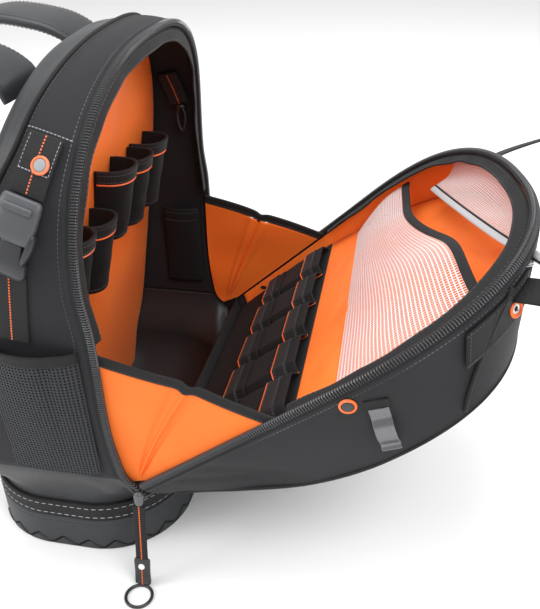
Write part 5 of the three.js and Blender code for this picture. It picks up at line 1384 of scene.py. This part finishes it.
def makeLidOutside():
    # tip straps
    for name, side in (("left", -1), ("right", 1)):
        spot, normal, round_ = lidWall(0.393, 0.2, 1.2)
        t = np.linspace(0, 1, 40)
        reach = 90 * t
        path = np.stack([spot[0] + reach * normal[0], spot[1] + reach * 0.8,
                         spot[2] + 90 * (0.3 * t + 0.1 * t * t)], -1)
        thickWay = np.array([0, -0.4, 0.92])
        path, wide, thin = path * [-side, 1, 1], round_ * [-side, 1, 1], unit(thickWay)
        profile = ringProfile(20, 12.3, 1.0, 6)
        loops = path[:, None] + wide * profile[None, :, :1] + thin * profile[None, :, 1:]
        world = lidWorld(*np.moveaxis(loops, -1, 0))
        loftMesh(f"tip_strap_{name}_web", world, "webbing", replaces=[f"tip_strap_{name}"])
        # the patch of webbing that holds it on the wall
        shares = np.linspace(0.335, 0.412, 24)
        depths = np.linspace(0.1, 0.46, 14)
        patch = np.array([[lidWall(s, d, 1.7)[0] for d in depths] for s in shares]) * [-side, 1, 1]
        patch = lidWorld(*np.moveaxis(patch, -1, 0))
        gridMesh(f"tip_patch_{name}", patch, "webbing", outFrom=lidWorld(0, 200, 30), thick=1.2, side=0)
        away = gridNormals(patch, outFrom=lidWorld(0, 200, 30))
        for row in (1, 12):
            stitch("darkThread", patch[:, row] + away[:, row] * 0.8, away[:, row], 3.4, 2.3, 0.65)
        for column in (1, 8, 22):
            stitch("darkThread", patch[column] + away[column] * 0.8, away[column], 3.4, 2.3, 0.65)
    spot, normal, _ = lidWall(0.388, 0.317, 2.4)
    ring = [(6.6, 0), (7.2, 0.7), (7.0, 1.6), (6.3, 2.1), (5.2, 2.0), (4.2, 1.3), (3.6, 0.2), (3.6, -0.2)]
    discRows(lidWorld(*spot), lidWay(normal), ring, "orangeTrim", "tip_eyelet_ring", ring=True,
             replaces=["tip_eyelet_left"])
    discRows(lidWorld(*spot), lidWay(normal), [(4.1, 0.05), (4.1, 0.9), (3.4, 1.2), (2.2, 1.1), (2.0, 0.4),
                                               (2.0, 0.1)], "steel", "tip_eyelet_core", ring=True)

    share = float(shareAt(211, lidRim))
    spot, normal, _ = lidWall(share, 0.12, 0.5)
    makeRivet("lid_rivet", lidWorld(*spot), lidWay(normal), "lid_rivet", "blackMetal")
    rows = [(0.3, 1), (0.36, 1), (0.42, 1.2), (0.5, 5.5), (0.62, 6.5), (0.74, 3.2), (0.8, 5.6)]
    path = smoothPath([lidWorld(*lidWall(share + 0.012, d, 0.6 + s)[0]) for d, s in rows], 40)
    sweepMesh("lid_clip_steel", path, lidWay(normal), ringProfile(16, 8, 0.6, 6), "darkSteel",
              replaces=["lid_clip"])
    tab = [lidWorld(*lidWall(share + 0.012, d, 0.9)[0]) for d in np.linspace(0.2, 0.4, 12)]
    flatStrap("lid_clip_tab", tab, lidWay(normal), 9.5, 1.2)

    # padded front pocket and two rows of webbing on the outer face
    u, v = np.meshgrid(np.linspace(0, 1, 80), np.linspace(0, 1, 60), indexing="ij")
    along = lerp(130, 303, v)
    half = halfAt(along, lidFace, 15)
    crown = 6.0 * np.clip(8 * np.minimum(np.minimum(u, 1 - u), np.minimum(v, 1 - v)), 0, 1) ** 0.6
    x = half * (2 * u - 1)
    out = faceDepth(along) + 1.2 + crown
    pocket = lidWorld(x, along, out)
    pocket = pocket - lidUp * (0.8 * ripple(pocket, 60, 91) * crown / 6)[..., None]
    gridMesh("front_pocket_cloth", pocket, "twill", facing=tuple(-lidUp), thick=1.2, side=-1,
             replaces=["front_pocket"])
    for name, centre in (("lower", 57), ("upper", 105)):
        along = np.linspace(centre - 12.5, centre + 12.5, 12)
        x = np.linspace(-128, 128, 60)
        web = lidWorld(x[:, None] + 0 * along, along[None] + 0 * x[:, None], faceDepth(along)[None] + 1.6
                       + 0 * x[:, None])
        gridMesh(f"face_webbing_{name}_web", web, "webbing", facing=tuple(-lidUp), thick=1.2, side=0,
                 replaces=[f"face_webbing_{name}"])
        for xs in np.linspace(-120, 120, 7):
            tack = lidWorld(np.full(8, xs), np.linspace(centre - 11, centre + 11, 8),
                            faceDepth(np.linspace(centre - 11, centre + 11, 8)) + 2.2)
            stitch("darkThread", tack, -lidUp, 2.2, 1.6, 1.4)


makeLidOutside()
print("outside of the lid made")


# side nets, straps and buckles
def netStand(u, v):
    return 11 * np.sin(np.pi * np.clip(u, 0, 1)) ** 0.6 * lerp(0.25, 1, v)


sideLook = {"strapTop": (-46, 412), "strapLow": (-33, 375), "strapEnd": (-3, 258.0), "rivet": (-44.0, 394.0),
            "strapHalf": 14.3,
            "endHalf": 14.1, "strapThick": 2.0, "dots": (2.5, 1.7, 1.25, 0.1), "buckleTop": 374,
            "buckleHigh": 56, "buckleFoot": 317.0, "buckleWide": 34}


def makeSides():
    for name, side in (("left", -1), ("right", 1)):
        def place(u, v, side=side):
            fold = 2.2 * np.exp(-((u - 0.3) / 0.06) ** 2) * v
            return mirrored(leftPoint(lerp(-54, 28, u), lerp(116, 240, v), 1.5 + netStand(u, v) - fold),
                            -side)
        netMesh(f"side_net_{name}_mesh", surfaceFrom(place, (side, 0, 0)), 27, 40, 0.62, "airMesh", 1.3,
                [f"side_net_{name}"], rounded=True)
        u, v = np.meshgrid(np.linspace(0, 1, 60), np.linspace(0, 1, 8), indexing="ij")
        hem = mirrored(leftPoint(lerp(-54, 28, u), lerp(240.3, 250, v), 1.7 + netStand(u, 1)), -side)
        gridMesh(f"side_net_hem_{name}_tape", hem, "binding", facing=(side, 0, 0), thick=2.0, side=0,
                 replaces=[f"side_net_hem_{name}"])
        for row in (1, 6):
            stitch("darkThread", hem[:, row] + np.array([side * 1.05, 0, 0]), (side, 0, 0), 3.4, 2.3, 0.65,
                   0.05)

        # compression strap with its orange dots, then the buckle and the strap's end
        t = np.linspace(0, 1, 40)[:, None]
        top, low = np.array(sideLook["strapTop"]), np.array(sideLook["strapLow"])
        line = lerp(top, low, t)
        path = leftPoint(line[:, 0], line[:, 1], 1.5)
        normal = path - leftPoint(line[:, 0], line[:, 1], 0)
        path, normal = mirrored(path, -side), mirrored(normal, -side)
        flatStrap(f"side_strap_{name}_web", path, normal, sideLook["strapHalf"], sideLook["strapThick"],
                  dotted=sideLook["dots"], replaces=[f"side_strap_{name}"])
        # the strap's upper end is sewn down in a box, and a seam runs across the panel above it
        across, away = frames(path, normal)
        for shift in (-12.4, 12.4):
            stitch("greyThread", path[1:24] + across[1:24] * shift, away[1:24], 3.0, 2.1, 0.6, 1.0)
        ends = path[23] + across[23] * np.linspace(-13, 13, 12)[:, None]
        stitch("greyThread", ends, away[23], 2.8, 2.3, 0.9, 1.0)
        seamY = np.linspace(-29, -65, 30)
        seamZ = np.interp(seamY, [-65, -31], [410, 417])
        seam = leftPoint(seamY, seamZ, 1.2)
        stitch("greyThread", mirrored(seam, -side), mirrored(seam - leftPoint(seamY, seamZ, 0), -side), 3.1,
               2.4, 0.85)
        slope = (top[0] - low[0]) / (top[1] - low[1])

        def buckleSpot(z, outset):
            z = np.asarray(z, float)
            return mirrored(leftPoint(low[0] + slope * (z - low[1]), z, outset), -side)

        def buckleLoops(rows, size=24, power=3.5):
            # rows of (share down the buckle, half width, half thickness, outward place, sideways place)
            r = np.array(rows, float)
            z = sideLook["buckleTop"] - sideLook["buckleHigh"] * r[:, 0]
            centre = buckleSpot(z, gap + 5.5 + r[:, 3])
            profile = ringProfile(size, 1, 1, power)
            r[:, [1, 4]] *= sideLook["buckleWide"] / 30
            way = unit(np.gradient(centre, axis=0))
            out = unit(mirrored(leftPoint(-31.0, 350.0, 1) - leftPoint(-31.0, 350.0, 0), -side))
            across = unit(np.cross(way, out))
            out = unit(np.cross(across, way))
            across = across * np.sign(across[:, 1:2])
            centre = centre + across * r[:, 4:5]
            return (centre[:, None] + across[:, None] * profile[None, :, :1] * r[:, 1, None, None]
                    + out[:, None] * profile[None, :, 1:] * r[:, 2, None, None])

        loftMesh(f"side_buckle_{name}_body", buckleLoops([(0, 12.5, 2.0, -1, 0), (0.03, 14, 3.0, -1, 0),
                                                          (0.12, 14.6, 4.4, 0, 0), (0.3, 14.2, 5.0, 0, 0),
                                                        (0.42, 13.2, 5.2, 0, 0), (0.5, 12.6, 5.0, 0, 0),
                                                          (0.53, 12.0, 4.0, 0, 0)]), "plasticGrey",
                 replaces=[f"side_buckle_{name}"])
        loftMesh(f"side_buckle_{name}_tongue", buckleLoops([(0.5, 7, 3.0, -0.5, 0), (0.56, 8, 3.6, -0.5, 0),
                                                            (0.72, 8.6, 3.8, -0.5, 0), (0.8, 12.6, 4.4, -0.4,
                                                                                        0),
                                                          (0.92, 13.4, 4.4, -0.4, 0), (1, 12.0, 2.6, -0.8,
                                                                                       0)]), "plastic")
        for sign in (-1, 1):
            loftMesh(f"side_buckle_{name}_prong_{'a' if sign < 0 else 'b'}",
                     buckleLoops([(0.36, 1.6, 2.2, 0.4, sign * 12.6), (0.42, 2.6, 3.4, 0.4, sign * 13.2),
                                  (0.55, 2.9, 3.8, 0.2, sign * 12.6),
                                  (0.68, 2.4, 3.6, 0, sign * 10.8), (0.78, 2.2, 3.4, 0, sign * 9.6)], 16,
                                 2.6),
                     "plastic")
        rib = buckleLoops([(0.1, 10.5, 0.9, 4.2, 0), (0.14, 11, 1.0, 4.6, 0), (0.18, 10.5, 0.9, 4.6, 0)], 16,
                          4)
        loftMesh(f"side_buckle_{name}_rib", rib, "plasticGrey")
        foot = sideLook["buckleFoot"]
        line = lerp(np.array([low[0] + slope * (foot - low[1]), foot]), np.array(sideLook["strapEnd"]),
                    np.linspace(0, 1, 40)[:, None])
        path = mirrored(leftPoint(line[:, 0], line[:, 1], 1.6), -side)
        normal = path - mirrored(leftPoint(line[:, 0], line[:, 1], 0), -side)
        flatStrap(f"side_strap_end_{name}_web", path, normal, sideLook["endHalf"], sideLook["strapThick"],
                  dotted=sideLook["dots"], replaces=[f"side_strap_end_{name}"])
    spot = leftPoint(*sideLook["rivet"], 2.9)
    makeRivet("side_rivet", spot, spot - leftPoint(*sideLook["rivet"], 0), "side_rivet_left")


makeSides()
print("sides made")


# back pads and shoulder straps
def puff(piece, cap, pressure=4.0):
    # swells a closed mesh with cloth under pressure, moving no point further than the cap
    mesh = piece.data
    count = len(mesh.vertices)
    rest = np.zeros(count * 3)
    mesh.vertices.foreach_get("co", rest)
    cloth = piece.modifiers.new("air", "CLOTH")
    cloth.settings.use_pressure = True
    cloth.settings.uniform_pressure_force = pressure
    cloth.settings.effector_weights.gravity = 0
    cloth.point_cache.frame_start, cloth.point_cache.frame_end = 1, 16
    for step in range(1, 17):
        bpy.context.scene.frame_set(step)
    swollen = np.zeros(count * 3)
    evaluated = piece.evaluated_get(bpy.context.evaluated_depsgraph_get())
    evaluated.data.vertices.foreach_get("co", swollen)
    piece.modifiers.remove(cloth)
    move = (swollen - rest).reshape(-1, 3)
    far = np.linalg.norm(move, axis=1, keepdims=True)
    move *= np.minimum(1, cap / 1000 / np.maximum(far, 1e-9))
    mesh.vertices.foreach_set("co", (rest.reshape(-1, 3) + move).ravel())
    mesh.update()
    bpy.context.scene.frame_set(1)


padLook = {"swell": 5}


def makePad(name, centreX, centreZ, halfWide, halfHigh, thick, node):
    # a cushion on the sloping back: a rounded outline that rises and is drawn in at its edge
    angle = np.linspace(0, 2 * np.pi, 110, endpoint=False)
    bend = lambda value: np.sign(value) * np.abs(value) ** 0.45

    def loop(inset, out):
        x = centreX + (halfWide - inset) * bend(np.cos(angle))
        z = centreZ + (halfHigh - inset) * bend(np.sin(angle))
        return np.stack([x, backY(z) + gap + 1.4 + out, z], -1)

    rise = [(40, 0), (20, 0), (8, 0), (3.5, 0), (2.5, 0.1 * thick), (2.2, 0.25 * thick), (3, 0.4 * thick),
            (5, 0.52 * thick), (8, 0.6 * thick),
            (13, 0.64 * thick), (18, 0.66 * thick), (24, 0.67 * thick), (30, 0.68 * thick),
            (36, 0.68 * thick),
            (halfWide * 0.9, 0.68 * thick)]
    if halfWide > 90:
        rise = [r for r in rise if r[0] < 37]
    loops = [loop(min(i, min(halfWide, halfHigh) * 0.94), o) for i, o in rise]
    pad = loftMesh(name, loops, "rearCloth", replaces=[node])
    puff(pad, padLook["swell"])


makePad("back_pad_left_cushion", -62, 305, 50, 108, 15, "back_pad_left")
makePad("back_pad_right_cushion", 62, 305, 50, 108, 15, "back_pad_right")
makePad("lumbar_pad_cushion", 0, 148, 118, 40, 18, "lumbar_pad")

shoulderRows = [(0, 0.915, 0, 0.75), (0.05, 0.95, 0, 0.9), (0.25, 0.98, 0, 1), (0.6, 0.985, 0.05, 1),
                (0.86, 0.92, 0.1, 1), (0.91, 0.8, 0.2, 1),
                (0.79, 0.65, 0.4, 1), (0.6, 0.5, 0.65, 0.9), (0.43, 0.39, 0.85, 0.55), (0.27, 0.31, 0.95, 0),
                (0.04, 0.25, 1, 0), (0, 0.2, 1, 0)]


shoulderLook = {"high": 462, "stand": 165, "topX": 70, "spread": 58, "halfWide": (12.5, 34),
                "halfThick": (1.5, 6.2), "steps": 140}


def makeShoulders():
    rows = np.array(shoulderRows)
    z = rows[:, 1] * shoulderLook["high"]
    seat = gap + lerp(3, 13, rows[:, 3]) / 2
    y = (np.maximum(backY(z), np.where(z < heightOf["tub"], backY(heightOf["tub"]) + wall + 2, 0)) + seat
         + rows[:, 0] * shoulderLook["stand"])
    padded = smoothPath(np.stack([rows[:, 3]] * 3, -1), shoulderLook["steps"])[:, 0].clip(0, 1)
    for name, side in (("left", -1), ("right", 1)):
        x = side * (shoulderLook["topX"] + shoulderLook["spread"] * rows[:, 2])
        path = smoothPath(np.stack([x, y, z], -1), shoulderLook["steps"])
        tangent = unit(np.gradient(path, axis=0))
        thin = unit(np.cross(tangent, np.array([1.0, 0, 0])))
        profile = ringProfile(32, 1, 1, 2.8)
        halfWide, halfThick = lerp(*shoulderLook["halfWide"], padded), lerp(*shoulderLook["halfThick"],
                                                                            padded)
        wide = unit(np.cross(thin, tangent))
        loops = (path[:, None] + wide[:, None] * profile[None, :, :1] * halfWide[:, None, None]
                 + thin[:, None] * (profile[None, :, 1:] * halfThick[:, None, None]))
        strap = loftMesh(f"shoulder_strap_{name}_pad", loops, "rearCloth",
                         replaces=[f"shoulder_strap_{name}"])
        for sign in (-1, 1):
            for face in (-1, 1):
                row = (path + wide * (sign * halfWide * 0.86)[:, None]
                       + thin * (face * halfThick * 0.72)[:, None])
                stitch("darkThread", row[6:100], (thin * face)[6:100], 4.2, 2.8, 0.7)


makeShoulders()
print("back made")


# zip pull
def makePull():
    top = 102
    x0 = -float(halfAt(heightOf["mouth"], zipArch)) - 3.4
    y0 = float(mouthY(heightOf["mouth"])) - 3

    def spot(z):
        z = np.asarray(z, float)
        return np.stack([x0 - 0.18 * (top - z), np.full(z.shape, y0), z], -1)

    z = top - 14 * np.array([0, 0.08, 0.25, 0.5, 0.78, 0.92, 1])
    size = np.array([0.45, 0.75, 1, 0.95, 0.85, 0.7, 0.45])
    sweepMesh("zip_slider_body", spot(z), (1, 0, 0), ringProfile(20, 4.5, 2.8, 3)[None] * size[:, None, None],
              "coil", replaces=["zip_slider"])
    z = np.linspace(87.5, 31, 30)
    flatStrap("pull_webbing_web", spot(z), (-1, 0, 0.18), 5.6, 2.0, dotted=(2.6, 1.8, 1.2, 0.1),
              replaces=["pull_webbing"])
    z = 31.4 - 28 * np.array([0, 0.04, 0.12, 0.5, 0.88, 0.96, 1])
    size = np.array([[0.85, 0.6], [0.97, 0.95], [1, 1], [0.94, 1], [1, 1], [0.97, 0.9], [0.85, 0.6]])
    profile = ringProfile(24, 7.5, 2.2, 5)[None] * size[:, None]
    sweepMesh("pull_tab_rubber", spot(z), (-1, 0, 0.18), profile, "plastic", replaces=["pull_tab"])
    z = np.linspace(27, 5, 12)
    stitch("orangeThread", spot(z) + np.array([-2.35, 0, 0]), (-1, 0, 0.18), 2.6, 1.8, 1.2, 0.05)
    discRows(spot(24.0) + np.array([-2.1, 0, 0.4]), (-1, 0, 0.18), [(3.0, 0), (3.0, 0.7), (2.6, 1.1),
                                                                    (1.4, 1.3), (0.3, 1.35)], "paleNet",
             "pull_tab_rivet", 28)
    angle = np.linspace(0, 2 * np.pi, 60, endpoint=False)
    centre = spot(0.0) + np.array([-12, 0, 0])
    profile = ringProfile(12, 1.5, 1.5)
    loops = np.stack([np.stack([centre[0] + (12 + profile[:, 0]) * np.cos(a),
                                centre[1] + (12 + profile[:, 0]) * np.sin(a), 1.5 + profile[:, 1]], -1)
                      for a in angle])
    loftMesh("pull_ring_metal", loops, "blackMetal", ring=True, replaces=["pull_ring"])


makePull()

for thread, rows in stitchRows.items():
    points, faces, start = [], [], 0
    for rowPoints, rowFaces in rows:
        points.append(rowPoints)
        faces += [tuple(v + start for v in face) for face in rowFaces]
        start += len(rowPoints)
    addMesh("stitches_" + thread, np.concatenate(points), faces, thread, shade=False)
print("pull and stitches made")

# floor and light
floorPoints = np.array([[-4000, -4000, 0], [4000, -4000, 0], [4000, 4000, 0], [-4000, 4000, 0]]) / 1000
floorMesh = bpy.data.meshes.new("floor")
floorMesh.from_pydata(floorPoints.tolist(), [], [(0, 1, 2, 3)])
floor = bpy.data.objects.new("floor", floorMesh)
bpy.context.scene.collection.objects.link(floor)
floorLook = bpy.data.materials.new("paleFloor")
floorLook.use_nodes = True
floorShader = floorLook.node_tree.nodes["Principled BSDF"]
floorShader.inputs["Base Color"].default_value = (0.9, 0.9, 0.9, 1)
floorShader.inputs["Roughness"].default_value = 0.9
floorMesh.materials.append(floorLook)

lights = {"key": ((-1.1, -1.3, 1.9), 1.2, 26), "fill": ((0.9, -1.5, 1.3), 1.6, 14), "top": ((0.2, 0.3, 2.2),
                                                                                            1.8, 30), "rear": ((-0.9, 1.4, 1.2), 1.0, 14)}
for name, (at, size, power) in lights.items():
    lamp = bpy.data.lights.new(name, "AREA")
    lamp.shape, lamp.size, lamp.energy = "DISK", size, power
    holder = bpy.data.objects.new(name, lamp)
    bpy.context.scene.collection.objects.link(holder)
    holder.location = at
    target = np.array([0, -0.1, 0.2]) - np.array(at)
    holder.rotation_euler = Vector(target).to_track_quat("-Z", "Y").to_euler()
world = bpy.data.worlds.new("studio")
world.use_nodes = True
world.node_tree.nodes["Background"].inputs[0].default_value = (1, 1, 1, 1)
world.node_tree.nodes["Background"].inputs[1].default_value = 0.75
bpy.context.scene.world = world
bpy.context.scene.view_settings.view_transform = "Standard"
